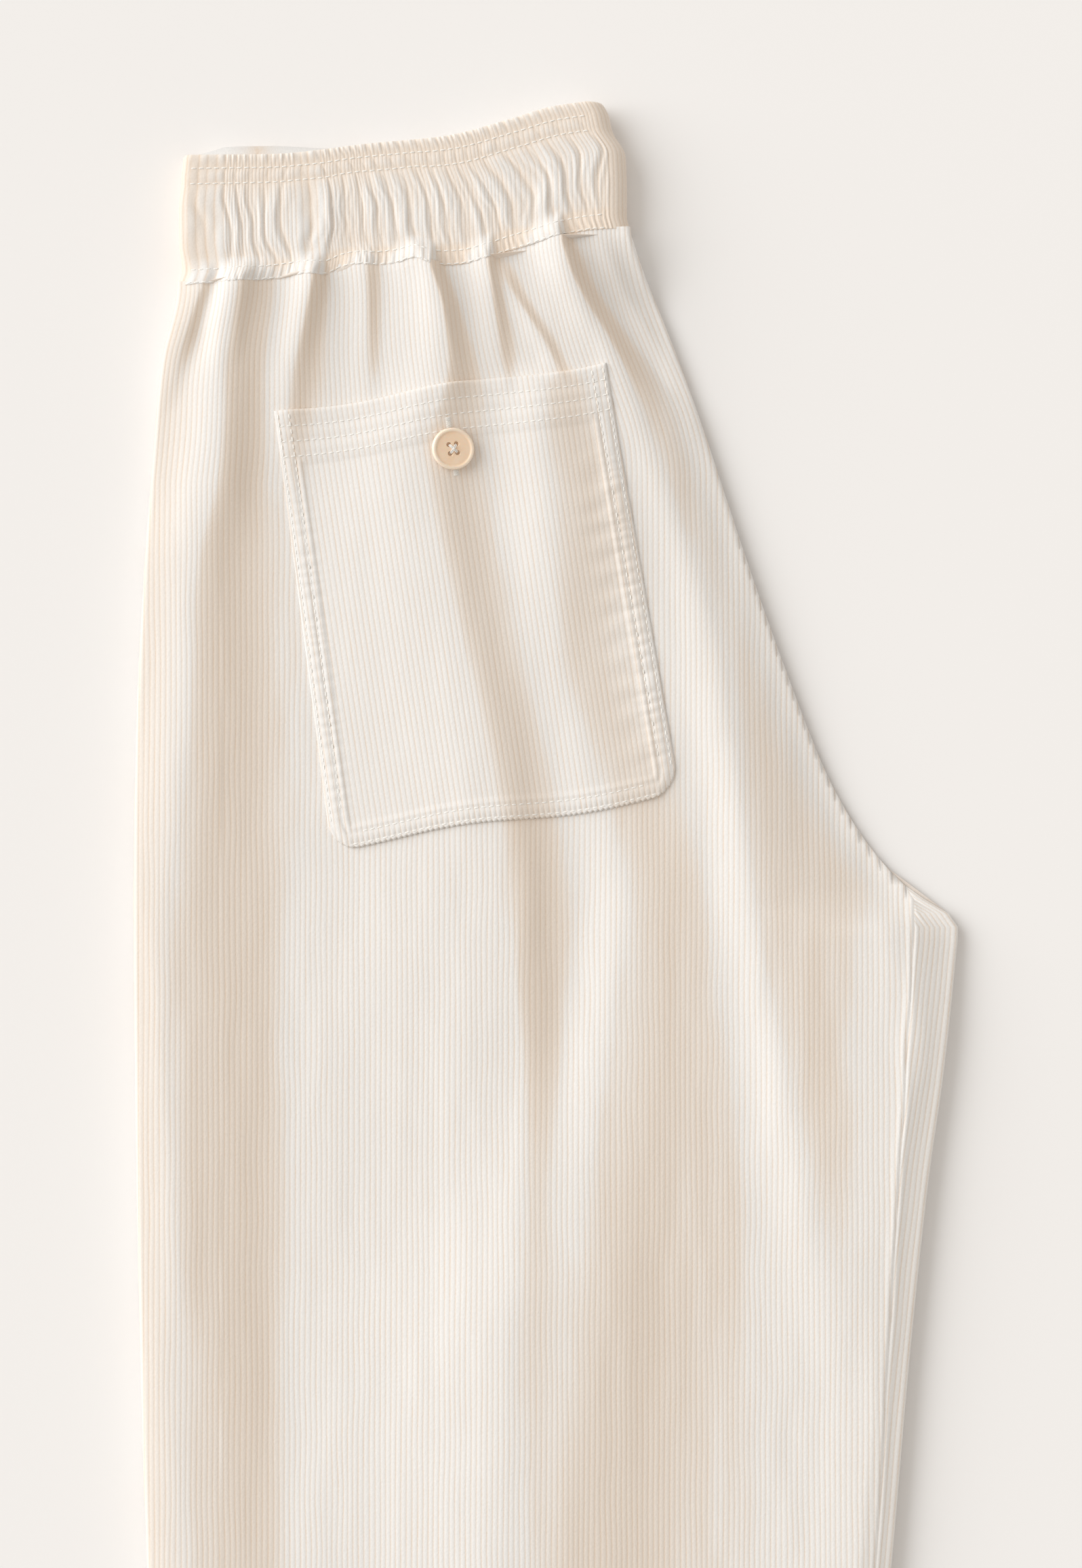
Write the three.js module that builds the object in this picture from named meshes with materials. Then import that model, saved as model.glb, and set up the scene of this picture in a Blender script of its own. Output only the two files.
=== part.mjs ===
// Cropped corduroy trousers with an elasticated waist, folded in half down the middle and laid flat.
// The left back panel and its patch pocket face up, the right back panel lies on the surface, and the two
// front panels are folded between them. Millimetres; X runs from the side seams to the seat seam, Y from
// the hems to the waist and Z up from the surface.
import * as THREE from "three";

// Driving sizes
const CLOTH = 1.5; // one layer of corduroy
const SEAM_GAP = 0.3; // clearance where two pieces meet
const LAY_GAP = 0.5; // clearance where the hidden fronts touch the backs
const LENGTH = 991; // top of the waist to the hems
const CROTCH_DOWN = 352; // top of the waist to the crotch point
const EDGE_ROLL = 7; // how far in from a folded edge the cloth starts to turn down

// Waistband casing
const CASING = 3.2; // thickness of cloth, elastic and cloth
const PASS_PITCH = 4; // from one pass of the folded ring to the next
const PASSES = 4;
const BAND_HEIGHT = 56;
const BAND_STACK = (PASSES - 1) * PASS_PITCH + CASING;
const GATHER_STEPS = 3; // columns of the ring for each gather
const GATHER_LEAN = 0.15; // how far the gathers lean towards the seat, for each millimetre down
const PEEK = 4; // how far the far edge of the waist shows past the near one

// Legs
const LEG_STACK = 9.8; // height of the four layers on the surface
const STACK_FADE = 62; // distance over which the waist's height sinks to the legs'
const LEG_SEAM = 0.26; // side and leg seams lie this share of the height above and below the middle
const GROOVE = 3; // depth of the groove between the two legs
const HEM_ROUND = 1.2; // how much lower the stack is at the hems' folded edge
const HEM_ROLL = 7;

// Patch pocket: its middle on the left back, and its turn in degrees
const POCKET = { x: -32.5, down: 212.5, mouth: 144.5, foot: 151, height: 181, turn: 8.6, corner: 12 };
const POCKET_HEM = { height: 22, rise: 0.5 }; // the mouth's turned edge stands a little higher

// Button
const BUTTON = { x: -40.6, down: 149.7, radius: 9, thickness: 2.6, bevel: 0.7, segments: 10 };
const BUTTON_HOLE = { radius: 0.9, spread: 3.4 };

// Height of the waist's top edge across the band, from the side fold to the seat fold
const WAIST_LINE = [
  { across: 0, down: 23 },
  { across: 0.2, down: 22.7 },
  { across: 0.46, down: 18 },
  { across: 0.64, down: 15 },
  { across: 0.81, down: 7.5 },
  { across: 0.91, down: 2.4 },
  { across: 1, down: 0 },
];

// Rows of the waistband from its top edge: the stitch lines have no puff, the channels between them do
const BAND_ROWS = [
  { down: 0, left: -156.6, right: 24.3, puff: 0.9 },
  { down: 6, left: -157, right: 27, puff: 0 },
  { down: 9, left: -157.4, right: 27.6, puff: 0.7 },
  { down: 12.4, left: -157.5, right: 28.4, puff: 0 },
  { down: 23, left: -158.6, right: 34, puff: 2.1 },
  { down: 38, left: -158.4, right: 34.6, puff: 2.1 },
  { down: 49.4, left: -157, right: 34.6, puff: 0 },
  { down: BAND_HEIGHT, left: -159, right: 36, puff: 0.4 },
];

// Gathers of the pass that shows: the crest of each at the band's middle, and how full it is
const GATHERS = [
  { x: -138.7, full: 0.9 },
  { x: -133.5, full: 0.7 },
  { x: -127.9, full: 0.8 },
  { x: -121.2, full: 0.9 },
  { x: -114.2, full: 1 },
  { x: -107.5, full: 1.1 },
  { x: -95.2, full: 1.2 },
  { x: -89.9, full: 0.8 },
  { x: -82.9, full: 0.9 },
  { x: -77.6, full: 0.8 },
  { x: -71.2, full: 1 },
  { x: -63.9, full: 1.1 },
  { x: -55.1, full: 1.1 },
  { x: -47.8, full: 0.9 },
  { x: -39.9, full: 1 },
  { x: -33.2, full: 0.9 },
  { x: -26.2, full: 0.8 },
  { x: -20.3, full: 0.9 },
  { x: -13, full: 1.1 },
  { x: -4.2, full: 1.2 },
  { x: 5.1, full: 1.1 },
  { x: 13.3, full: 0.9 },
  { x: 20.6, full: 0.8 },
];

// The folded side edge, from waist seam to hem
const SIDE_EDGE = [
  { down: 56, x: -159 },
  { down: 79, x: -159.2 },
  { down: 113, x: -166.2 },
  { down: 148, x: -169.6 },
  { down: 201, x: -173.8 },
  { down: 271, x: -177.3 },
  { down: 341, x: -178.4 },
  { down: 447, x: -177.3 },
  { down: 587, x: -174.1 },
  { down: 632, x: -172.4 },
  { down: 800, x: -164 },
  { down: LENGTH, x: -152 },
];

// The seat seam, from waist seam to crotch point
const SEAT_EDGE = [
  { down: 56, x: 36 },
  { down: 68, x: 40 },
  { down: 96, x: 51.6 },
  { down: 131, x: 64.8 },
  { down: 201, x: 88.2 },
  { down: 254, x: 107.2 },
  { down: 289, x: 121.2 },
  { down: 307, x: 130.8 },
  { down: 324, x: 142.5 },
  { down: 337, x: 154.6 },
  { down: 344, x: 164.3 },
  { down: 349, x: 173 },
  { down: CROTCH_DOWN, x: 177.4 },
];

// The inseam edge, from crotch point to hem
const INSEAM_EDGE = [
  { down: CROTCH_DOWN, x: 177.4 },
  { down: 356, x: 178.2 },
  { down: 371, x: 176.8 },
  { down: 417, x: 171.8 },
  { down: 468, x: 164.7 },
  { down: 542, x: 156.9 },
  { down: 632, x: 149 },
  { down: 800, x: 132 },
  { down: LENGTH, x: 114 },
];

// Folds of the back that shows: where the crest starts and ends, how far its middle bows towards the
// seat, how far its slopes spread towards the side edge (near) and the seat (far), and its height.
const FOLDS = [
  { down: 62, x: -152, downEnd: 130, xEnd: -160, bow: -1, near: 5, far: 5, height: 1.6 },
  { down: 64, x: -132, downEnd: 160, xEnd: -149, bow: -4, near: 8, far: 8, height: 2.4 },
  { down: 84, x: -146, downEnd: 430, xEnd: -141, bow: -5, near: 14, far: 13, height: 4.4 },
  { down: 66, x: -109, downEnd: 150, xEnd: -113, bow: -1, near: 7, far: 6, height: 2.6 },
  { down: 62, x: -86, downEnd: 150, xEnd: -90, bow: 0, near: 7, far: 7, height: 2.2 },
  { down: 60, x: -60, downEnd: 170, xEnd: -52, bow: -6, near: 9, far: 6, height: 3 },
  { down: 60, x: -28, downEnd: 138, xEnd: -18, bow: -3, near: 8, far: 6, height: 2.2 },
  { down: 56, x: 4, downEnd: 490, xEnd: 120, bow: 19, near: 15, far: 12, height: 4 },
  { down: 58, x: 27, downEnd: 128, xEnd: 53, bow: -1, near: 4, far: 5, height: 1.4 },
  { down: 90, x: -57, downEnd: 440, xEnd: -12, bow: 5, near: 24, far: 12, height: 3.8 },
  { down: 120, x: -2, downEnd: 450, xEnd: 22, bow: 9, near: 13, far: 14, height: 2.2 },
  { down: 330, x: -168, downEnd: 560, xEnd: -157, bow: 3, near: 7, far: 6, height: 1.3 },
  { down: 340, x: -143, downEnd: 985, xEnd: -102, bow: -8, near: 14, far: 18, height: 3.6 },
  { down: 370, x: 20, downEnd: 990, xEnd: -22, bow: -20, near: 44, far: 27, height: 4 },
  { down: 345, x: 160, downEnd: 990, xEnd: 104, bow: 3, near: 21, far: 8, height: 2.6 },
];
const FOLD_FADE = 0.3; // share of a fold's length over which it rises, and over which it dies away
const LONGEST_RISE = 26;

// Rows of cloth: how far below the waist seam, then how far below the waist's top
const SEAT_ROWS = [0, 6, 14, 24, 36, 50, 66, 84, 104, 126, 150, 176, 202, 226, 246, 262, 270, 275];
const LEG_ROWS = [352, 358, 374, 400, 434, 474, 520, 572, 630, 694, 764, 840, 916, 966, 986, LENGTH];
const TILT_ENDS = 300; // rows follow the waist's slope down to here, and are level from here on
const BACK_STEPS = 29; // columns of the left back between its rolled edges
const POCKET_ROWS = [0, 11, 22, 23, 37, 51, 65, 79, 93, 107, 121, 135, 149, 160, 169, 174, 178, 181];
const POCKET_STEPS = 14;
const HIDDEN_STEPS = 9; // columns of the hidden pieces
const ROLL_STEPS = 3;

const clamp01 = (t) => Math.min(1, Math.max(0, t));
const smooth = (t) => clamp01(t) ** 2 * (3 - 2 * clamp01(t));
const mix = (a, b, t) => a + (b - a) * t;
const last = (list) => list[list.length - 1];
const count = (n) => Array.from({ length: n }, (_, i) => i);

// A smooth curve through the rows of a table that never overshoots them: cubic between rows.
function curveThrough(rows, xKey, yKey) {
  const xs = rows.map((row) => row[xKey]);
  const ys = rows.map((row) => row[yKey]);
  const steps = xs.slice(1).map((x, i) => x - xs[i]);
  const slopes = steps.map((step, i) => (ys[i + 1] - ys[i]) / step);
  const tangents = xs.map((_, i) => {
    const before = slopes[Math.max(0, i - 1)];
    const after = slopes[Math.min(slopes.length - 1, i)];
    return before * after <= 0 ? 0 : (2 * before * after) / (before + after);
  });
  return (x) => {
    const at = Math.min(last(xs), Math.max(xs[0], x));
    const i = Math.max(0, steps.findIndex((_, k) => at <= xs[k + 1]));
    const t = (at - xs[i]) / steps[i];
    const straight = mix(ys[i], ys[i + 1], t * t * (3 - 2 * t));
    return straight + steps[i] * t * (1 - t) * ((1 - t) * tangents[i] - t * tangents[i + 1]);
  };
}

const waistLine = curveThrough(WAIST_LINE, "across", "down");
const sideEdge = curveThrough(SIDE_EDGE, "down", "x");
const seatEdge = curveThrough(SEAT_EDGE, "down", "x");
const inseamEdge = curveThrough(INSEAM_EDGE, "down", "x");
const innerEdge = (down) => (down < CROTCH_DOWN ? seatEdge(down) : inseamEdge(down));
const seamLine = (u) => waistLine(u) + BAND_HEIGHT + SEAM_GAP;

// Height of one fold at a place: a bell across its crest, with a slope of its own on each side.
function foldHeight(fold, x, down) {
  const length = fold.downEnd - fold.down;
  const t = clamp01((down - fold.down) / length);
  const rise = smooth((down - fold.down) / Math.min(LONGEST_RISE, FOLD_FADE * length));
  const fall = smooth((fold.downEnd - down) / (FOLD_FADE * length));
  const aside = x - mix(fold.x, fold.xEnd, t) - 4 * fold.bow * t * (1 - t);
  return fold.height * rise * fall * Math.exp(-((aside / (aside < 0 ? fold.near : fold.far)) ** 2));
}

// Height of the four layers alone: tallest at the waist seam, rounded off at the hems.
function stackHeight(down, seamDown) {
  const below = Math.max(0, down - seamDown);
  const hem = HEM_ROUND * smooth((down - LENGTH + HEM_ROLL) / HEM_ROLL);
  return LEG_STACK + (BAND_STACK - LEG_STACK) * Math.exp(-((below / STACK_FADE) ** 2)) - hem;
}

// One row of cloth: its ends, how far down it lies at each share of the way across, how far its edges
// roll, and how open the inner edge is: closed at the seat seam, open between the legs.
function clothRow(down) {
  const middle = seamLine(0.5);
  const tilt = 1 - smooth((down - middle) / (TILT_ENDS - middle));
  const downAt = (u) => down + (seamLine(u) - middle) * tilt;
  const slant = Math.min(2, Math.abs(innerEdge(downAt(1) + 2) - innerEdge(downAt(1) - 2)) / 4);
  return {
    left: sideEdge(downAt(0)),
    right: innerEdge(downAt(1)),
    downAt,
    rollRight: EDGE_ROLL * Math.hypot(1, slant),
    open: smooth((down - CROTCH_DOWN + 4) / 14),
  };
}

const ROWS = [...SEAT_ROWS.map((below) => clothRow(seamLine(0.5) + below)), ...LEG_ROWS.map(clothRow)];
const HIDDEN_ROWS = ROWS.filter((_, i) => i < SEAT_ROWS.length + 4 || i % 2 === 1);

// Points across a row. lift goes from 0 at an edge to 1 where its roll ends, evenly by angle; side is -1
// on the side edge's roll, 1 on the inner edge's and 0 between; seam is the height share of that edge's
// seam above and below the middle.
function acrossRow(row, flatSteps) {
  const angles = count(ROLL_STEPS).map((i) => (i / ROLL_STEPS) * (Math.PI / 2));
  const roll = (edge, side, width) =>
    angles.map((a) => ({ x: edge - side * width * (1 - Math.cos(a)), lift: Math.sin(a), side }));
  const from = row.left + EDGE_ROLL;
  const to = row.right - row.rollRight;
  const flat = count(flatSteps + 1).map((i) => ({ x: mix(from, to, i / flatSteps), lift: 1, side: 0 }));
  const points = [...roll(row.left, -1, EDGE_ROLL), ...flat, ...roll(row.right, 1, row.rollRight).reverse()];
  return points.map((p) => {
    const u = (p.x - row.left) / (row.right - row.left);
    const down = row.downAt(u);
    const open = p.side > 0 ? row.open : 1;
    return { ...p, down, open, stack: stackHeight(down, seamLine(u)) };
  });
}

// Height of the edge of the upper (sign 1) or lower (sign -1) back.
const seamHeight = (p, sign) => p.stack * (0.5 + sign * LEG_SEAM * p.open) + (sign * SEAM_GAP) / 2;
const inward = (p, distance) => ({ ...p, x: p.x - p.side * distance });
const toPoint = (p) => new THREE.Vector3(p.x, LENGTH / 2 - p.down, p.z);

// A closed wall between two grids of points with the same rows and columns. Seen from outside, the outer
// grid's columns go to the right and its rows go down; ring joins the last column to the first.
function wall(outer, inner, ring = false) {
  const rows = outer.length;
  const columns = outer[0].length;
  const index = [];
  const id = (side, r, c) => (side * rows + r) * columns + (c % columns);
  const quad = (a, b, c, d) => index.push(a, b, c, a, c, d);
  for (const c of count(ring ? columns : columns - 1)) {
    for (const r of count(rows - 1)) {
      quad(id(0, r, c), id(0, r + 1, c), id(0, r + 1, c + 1), id(0, r, c + 1));
      quad(id(1, r, c), id(1, r, c + 1), id(1, r + 1, c + 1), id(1, r + 1, c));
    }
    quad(id(0, 0, c), id(0, 0, c + 1), id(1, 0, c + 1), id(1, 0, c));
    quad(id(0, rows - 1, c), id(1, rows - 1, c), id(1, rows - 1, c + 1), id(0, rows - 1, c + 1));
  }
  for (const r of count(ring ? 0 : rows - 1)) {
    const end = columns - 1;
    quad(id(0, r, 0), id(1, r, 0), id(1, r + 1, 0), id(0, r + 1, 0));
    quad(id(0, r, end), id(0, r + 1, end), id(1, r + 1, end), id(1, r, end));
  }
  const position = [...outer, ...inner].flat().flatMap((p) => toPoint(p).toArray());
  const geometry = new THREE.BufferGeometry();
  geometry.setAttribute("position", new THREE.Float32BufferAttribute(position, 3));
  geometry.setIndex(index);
  return geometry;
}

// The left back: its outer face carries the folds and turns down at both edges.
function leftBack() {
  const face = (depth) => (p) => {
    const folds = FOLDS.reduce((sum, fold) => sum + foldHeight(fold, p.x, p.down), 0);
    return { ...inward(p, depth * (1 - p.lift)), z: mix(seamHeight(p, 1), p.stack + folds - depth, p.lift) };
  };
  const grid = ROWS.map((row) => acrossRow(row, BACK_STEPS));
  return wall(grid.map((line) => line.map(face(0))), grid.map((line) => line.map(face(CLOTH))));
}

// The right back: flat on the surface, turned up at both edges to its seams.
function rightBack() {
  const face = (depth) => (p) => ({
    ...inward(p, depth * (1 - p.lift)),
    z: mix(seamHeight(p, -1), depth, p.lift),
  });
  const grid = HIDDEN_ROWS.map((row) => acrossRow(row, HIDDEN_STEPS));
  return wall(grid.map((line) => line.map(face(CLOTH))), grid.map((line) => line.map(face(0))));
}

// Half of the section of the two fronts: out of the groove between the legs, round the leg's edge to its
// seam, in under the back and across. sign is 1 for the upper leg and -1 for the lower. Where the seat
// seam closes the edge, the fronts end just inside the backs.
function frontsLine(row, sign) {
  return acrossRow(row, HIDDEN_STEPS).flatMap((p) => {
    const middle = p.stack / 2;
    const shut = (1 - p.open) * 2 * SEAM_GAP;
    const seam = middle + sign * Math.max(SEAM_GAP, p.stack * LEG_SEAM * p.open - SEAM_GAP / 2);
    const face = sign > 0 ? p.stack - CLOTH - LAY_GAP : CLOTH + SEAM_GAP;
    const under = { ...inward(p, shut + CLOTH * (1 - p.lift)), z: mix(seam, face, p.lift) };
    if (p.lift > 0) return [under];
    const out = (distance, share) => ({
      ...inward(p, shut + mix(CLOTH, distance, p.open)),
      z: mix(middle, seam, share),
    });
    const edge = [out(GROOVE, 0.1), out(0.7, 0.45), out(0, 0.8), under];
    return p.side < 0 ? edge : edge.reverse();
  });
}

function fronts() {
  return wall(HIDDEN_ROWS.map((row) => frontsLine(row, 1)), HIDDEN_ROWS.map((row) => frontsLine(row, -1)));
}

// Columns across the pass of the waistband that shows: a share of the way from side to seat, and how far
// the cloth stands out there, from 0 in the tucks to 1 or so on the crests.
function gatherColumns(left, right) {
  const crests = GATHERS.map((gather) => ({ u: (gather.x - left) / (right - left), full: gather.full }));
  const stops = [{ u: 0, full: 0 }, ...crests, { u: 1, full: 0 }];
  return stops.slice(1).flatMap((stop, i) => {
    const before = stops[i];
    const ends = i === 0 || i === stops.length - 2;
    return count(GATHER_STEPS).map((k) => {
      const t = k / GATHER_STEPS;
      const wave = ends ? 1 : 0.5 + 0.5 * Math.cos(2 * Math.PI * t);
      return { u: mix(before.u, stop.u, t), puff: wave * mix(before.full, stop.full, t) };
    });
  });
}

const PASS_HEIGHTS = count(PASSES).map((i) => CASING / 2 + (PASSES - 1 - i) * PASS_PITCH);
const SIDE_TURN = PASS_PITCH / 2;
const SEAT_TURN = (PASS_HEIGHTS[0] - last(PASS_HEIGHTS)) / 2;
const passEnds = (bandRow) => ({
  left: bandRow.left + SIDE_TURN + CASING / 2,
  right: bandRow.right - SEAT_TURN - CASING / 2,
});
const MIDDLE_ENDS = passEnds(BAND_ROWS[5]);
const TOP_PASS = gatherColumns(MIDDLE_ENDS.left, MIDDLE_ENDS.right);

// One row of the folded ring, round its section: over the top pass from side to seat, down round the
// seat fold, and back through the hidden passes with a turn between each two. normal points out of it.
function ringRow(bandRow) {
  const { left, right } = passEnds(bandRow);
  const lean = (GATHER_LEAN * (bandRow.down - BAND_HEIGHT / 2)) / (right - left);
  const shown = TOP_PASS.map(({ u, puff }) => {
    return { u: u + lean * Math.sin(Math.PI * u), puff, z: PASS_HEIGHTS[0], normal: [0, 1] };
  });
  const hidden = (number) =>
    count(HIDDEN_STEPS).map((i) => {
      const seatward = number % 2 === 0;
      const u = seatward ? i / HIDDEN_STEPS : 1 - i / HIDDEN_STEPS;
      return { u, z: PASS_HEIGHTS[number], normal: [0, seatward ? 1 : -1] };
    });
  const turn = (u, from, to, facing, steps) =>
    count(steps).map((i) => {
      const [start, end] = [PASS_HEIGHTS[from], PASS_HEIGHTS[to]];
      const angle = (Math.PI * i) / steps;
      const away = [(u === 1 ? 1 : -1) * Math.sin(angle), Math.sign(start - end) * Math.cos(angle)];
      const radius = Math.abs(start - end) / 2;
      const z = (start + end) / 2 + away[1] * radius;
      return { u, aside: away[0] * radius, z, normal: away.map((v) => v * facing) };
    });
  const loop = [
    ...shown,
    ...turn(1, 0, 3, 1, 6),
    ...hidden(3),
    ...turn(0, 3, 2, 1, 4),
    ...hidden(2),
    ...turn(1, 2, 1, -1, 4),
    ...hidden(1),
    ...turn(0, 1, 0, 1, 4),
  ];
  return loop.map((p) => ({ puff: -1, ...p, x: mix(left, right, p.u) + (p.aside ?? 0) }));
}

// The waistband's far edge stands a little past the near one towards the side fold.
const peekAt = (u) => PEEK * smooth(u / 0.1) * (1 - smooth((u - 0.2) / 0.2));

function waistband() {
  const face = (side) =>
    BAND_ROWS.map((bandRow) =>
      ringRow(bandRow).map((p) => {
        const shown = p.puff >= 0;
        const away = (side * CASING) / 2 + (shown && side > 0 ? bandRow.puff * p.puff : 0);
        const peek = shown || bandRow.down > 0 ? 0 : peekAt(p.u);
        const down = waistLine(p.u) + bandRow.down - peek;
        return { x: p.x + p.normal[0] * away, z: p.z + p.normal[1] * away, down };
      }),
    );
  return wall(face(1), face(-1), true);
}

// Height of a mesh's upper face at a place.
function heightOf(mesh) {
  const down = new THREE.Vector3(0, 0, -1);
  const high = 10 * BAND_STACK;
  return (x, y) => new THREE.Raycaster(new THREE.Vector3(x, y, high), down).intersectObject(mesh)[0].point.z;
}

// A place on the pocket: across from its middle line and down from its mouth, turned with it.
function onPocket(across, fromMouth) {
  const turn = THREE.MathUtils.degToRad(POCKET.turn);
  const up = POCKET.height / 2 - fromMouth;
  return {
    x: POCKET.x + across * Math.cos(turn) - up * Math.sin(turn),
    down: POCKET.down - across * Math.sin(turn) - up * Math.cos(turn),
  };
}

// How far the pocket reaches either side of its middle line: less where its lower corners are rounded.
function pocketReach(fromMouth) {
  const { mouth, foot, height, corner } = POCKET;
  const intoCorner = Math.max(0, fromMouth - (height - corner));
  return mix(mouth, foot, fromMouth / height) / 2 - corner + Math.sqrt(corner ** 2 - intoCorner ** 2);
}

// The patch pocket: points on the left back, all moved out by the least distance that keeps the cloth
// between them clear of it too. The turned edge at the mouth stands a little higher.
function pocket(back) {
  const height = heightOf(back);
  const grid = POCKET_ROWS.map((fromMouth) =>
    count(POCKET_STEPS + 1).map((i) => {
      const place = onPocket(mix(-1, 1, i / POCKET_STEPS) * pocketReach(fromMouth), fromMouth);
      const rise = fromMouth <= POCKET_HEM.height ? POCKET_HEM.rise : 0;
      return { ...place, rise, z: height(place.x, LENGTH / 2 - place.down) };
    }),
  );
  const shares = [0, 0.25, 0.5, 0.75, 1];
  const dips = grid.slice(1).flatMap((line, r) =>
    line.slice(1).flatMap((corner, c) => {
      const start = grid[r][c];
      return shares.flatMap((v) =>
        shares.map((u) => {
          const side = u < v ? grid[r + 1][c] : grid[r][c + 1];
          const [far, near] = [Math.min(u, v), Math.abs(u - v)];
          const between = (key) => start[key] * (1 - far - near) + side[key] * near + corner[key] * far;
          return height(between("x"), LENGTH / 2 - between("down")) - between("z");
        }),
      );
    }),
  );
  const lift = SEAM_GAP + Math.max(...dips);
  const face = (thickness) =>
    grid.map((line) => line.map((p) => ({ ...p, z: p.z + lift + (thickness > 0 ? thickness + p.rise : 0) })));
  return wall(face(CLOTH), face(0));
}

// A four-hole button: a bevelled disc.
function button() {
  const disc = new THREE.Shape();
  disc.absarc(0, 0, BUTTON.radius - BUTTON.bevel, 0, 2 * Math.PI, false);
  for (const quarter of count(4)) {
    const angle = (quarter + 0.5) * (Math.PI / 2);
    const reach = BUTTON_HOLE.spread / Math.SQRT2;
    const hole = new THREE.Path();
    hole.absarc(reach * Math.cos(angle), reach * Math.sin(angle), BUTTON_HOLE.radius, 0, 2 * Math.PI, true);
    disc.holes.push(hole);
  }
  return new THREE.ExtrudeGeometry(disc, {
    depth: BUTTON.thickness - 2 * BUTTON.bevel,
    bevelThickness: BUTTON.bevel,
    bevelSize: BUTTON.bevel,
    bevelSegments: 2,
    curveSegments: BUTTON.segments,
  });
}

// Lays the button on the pocket: tilted to the cloth under it and just clear of its highest point.
function layButton(mesh, patch) {
  const height = heightOf(patch);
  const y = LENGTH / 2 - BUTTON.down;
  const heightAt = (dx, dy) => height(BUTTON.x + dx, y + dy);
  const reach = BUTTON.radius;
  const slopeX = (heightAt(reach, 0) - heightAt(-reach, 0)) / (2 * reach);
  const slopeY = (heightAt(0, reach) - heightAt(0, -reach)) / (2 * reach);
  const spots = count(11).flatMap((i) => count(11).map((j) => [(i / 5 - 1) * reach, (j / 5 - 1) * reach]));
  const onDisc = spots.filter(([dx, dy]) => Math.hypot(dx, dy) <= reach);
  const seat = Math.max(...onDisc.map(([dx, dy]) => heightAt(dx, dy) - slopeX * dx - slopeY * dy));
  const normal = new THREE.Vector3(-slopeX, -slopeY, 1).normalize();
  mesh.quaternion.setFromUnitVectors(new THREE.Vector3(0, 0, 1), normal);
  mesh.position.set(BUTTON.x, y, seat + BUTTON.bevel + SEAM_GAP);
  return mesh;
}

const corduroy = () => new THREE.MeshStandardMaterial({ color: 0xece3d6, roughness: 0.95, metalness: 0 });
const horn = () => new THREE.MeshStandardMaterial({ color: 0xe6cdb0, roughness: 0.45, metalness: 0 });

function named(name, geometry, material) {
  const mesh = new THREE.Mesh(geometry, material);
  mesh.name = name;
  return mesh;
}

const back = named("back_left", leftBack(), corduroy());
const patch = named("back_pocket", pocket(back), corduroy());
const trousers = new THREE.Group();
trousers.add(
  back,
  named("back_right", rightBack(), corduroy()),
  named("fronts", fronts(), corduroy()),
  named("waistband", waistband(), corduroy()),
  patch,
  layButton(named("button", button(), horn()), patch),
);

// The part rests on the surface with its box centred over the origin.
const box = new THREE.Box3().setFromObject(trousers);
const middle = box.getCenter(new THREE.Vector3());
trousers.position.set(-middle.x, -middle.y, -box.min.z);

export default trousers;
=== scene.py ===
"""Cropped corduroy trousers, folded in half lengthwise and laid flat with the backs outside.

Sizes are in millimetres in the trousers' own places: x across, down from the top of the waist, and z up
from the surface they lie on. to_metres() puts them in the shared frame."""

import bpy
import numpy as np
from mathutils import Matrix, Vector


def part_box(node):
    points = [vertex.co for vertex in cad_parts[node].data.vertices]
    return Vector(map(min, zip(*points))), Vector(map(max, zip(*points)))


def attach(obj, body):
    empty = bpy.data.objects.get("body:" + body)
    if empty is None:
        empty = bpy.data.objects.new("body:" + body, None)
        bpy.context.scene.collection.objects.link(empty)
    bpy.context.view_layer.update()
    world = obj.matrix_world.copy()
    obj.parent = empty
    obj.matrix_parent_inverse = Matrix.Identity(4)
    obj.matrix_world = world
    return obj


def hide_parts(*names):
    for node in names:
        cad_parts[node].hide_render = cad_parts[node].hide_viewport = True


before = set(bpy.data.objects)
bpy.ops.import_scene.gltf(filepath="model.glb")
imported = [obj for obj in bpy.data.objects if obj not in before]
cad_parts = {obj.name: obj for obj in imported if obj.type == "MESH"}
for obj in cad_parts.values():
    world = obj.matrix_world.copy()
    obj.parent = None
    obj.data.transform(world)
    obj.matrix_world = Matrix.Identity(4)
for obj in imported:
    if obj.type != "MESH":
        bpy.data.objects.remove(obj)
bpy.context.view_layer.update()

# Cloth and layers, as in the solids
WALE = 25.4 / 11  # eleven ribs to the inch
CLOTH = 1.5
SEAM_GAP = 0.3
LAY_GAP = 0.5
LENGTH = 991
CROTCH_DOWN = 352
CROTCH_OPENS = 14  # over this length the seam at the crotch passes from closed to open
EDGE_ROLL = 7  # inwards from here the layers lie level
SIDE_ROLL = 2.6  # a pressed fold rolls over sooner than a seam
SEAM_ROLL = 3
LEG_STACK = 9.8  # height of the legs' four layers
STACK_FADE = 62  # how far down the waistband's greater height still shows
LEG_SEAM = 0.26  # how far an open seam's two edges stand from mid height, as a share of the stack
GROOVE = 3  # depth of the groove between the legs
HEM_ROUND = 1.2
HEM_ROLL = 7
HEM_TURNING = 25
HEM_ROWS = (12, 7, 3.5, 1.5)  # rows of the mesh this far above the hem
TILT_ENDS = 300  # down to here rows of cloth follow the waist's slope

# The waistband: one elastic casing, folded to four passes
CASING = 3.2
PASS_PITCH = 4
PASSES = 4
BAND_HEIGHT = 56
BAND_STACK = (PASSES - 1) * PASS_PITCH + CASING
PASS_HEIGHTS = CASING / 2 + np.arange(PASSES)[::-1] * PASS_PITCH
BAND_WIDTH = 185  # of one gathered pass, for the unevenness along it
PEEK = 4  # how far the waist's far edge stands past the near one
PEEK_FADE = 12  # and how far down the band that fades away
BAND_ROWS = (6, 12.6, 49.7, 55.4)  # the four rows of stitches, from the top of the band

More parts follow.
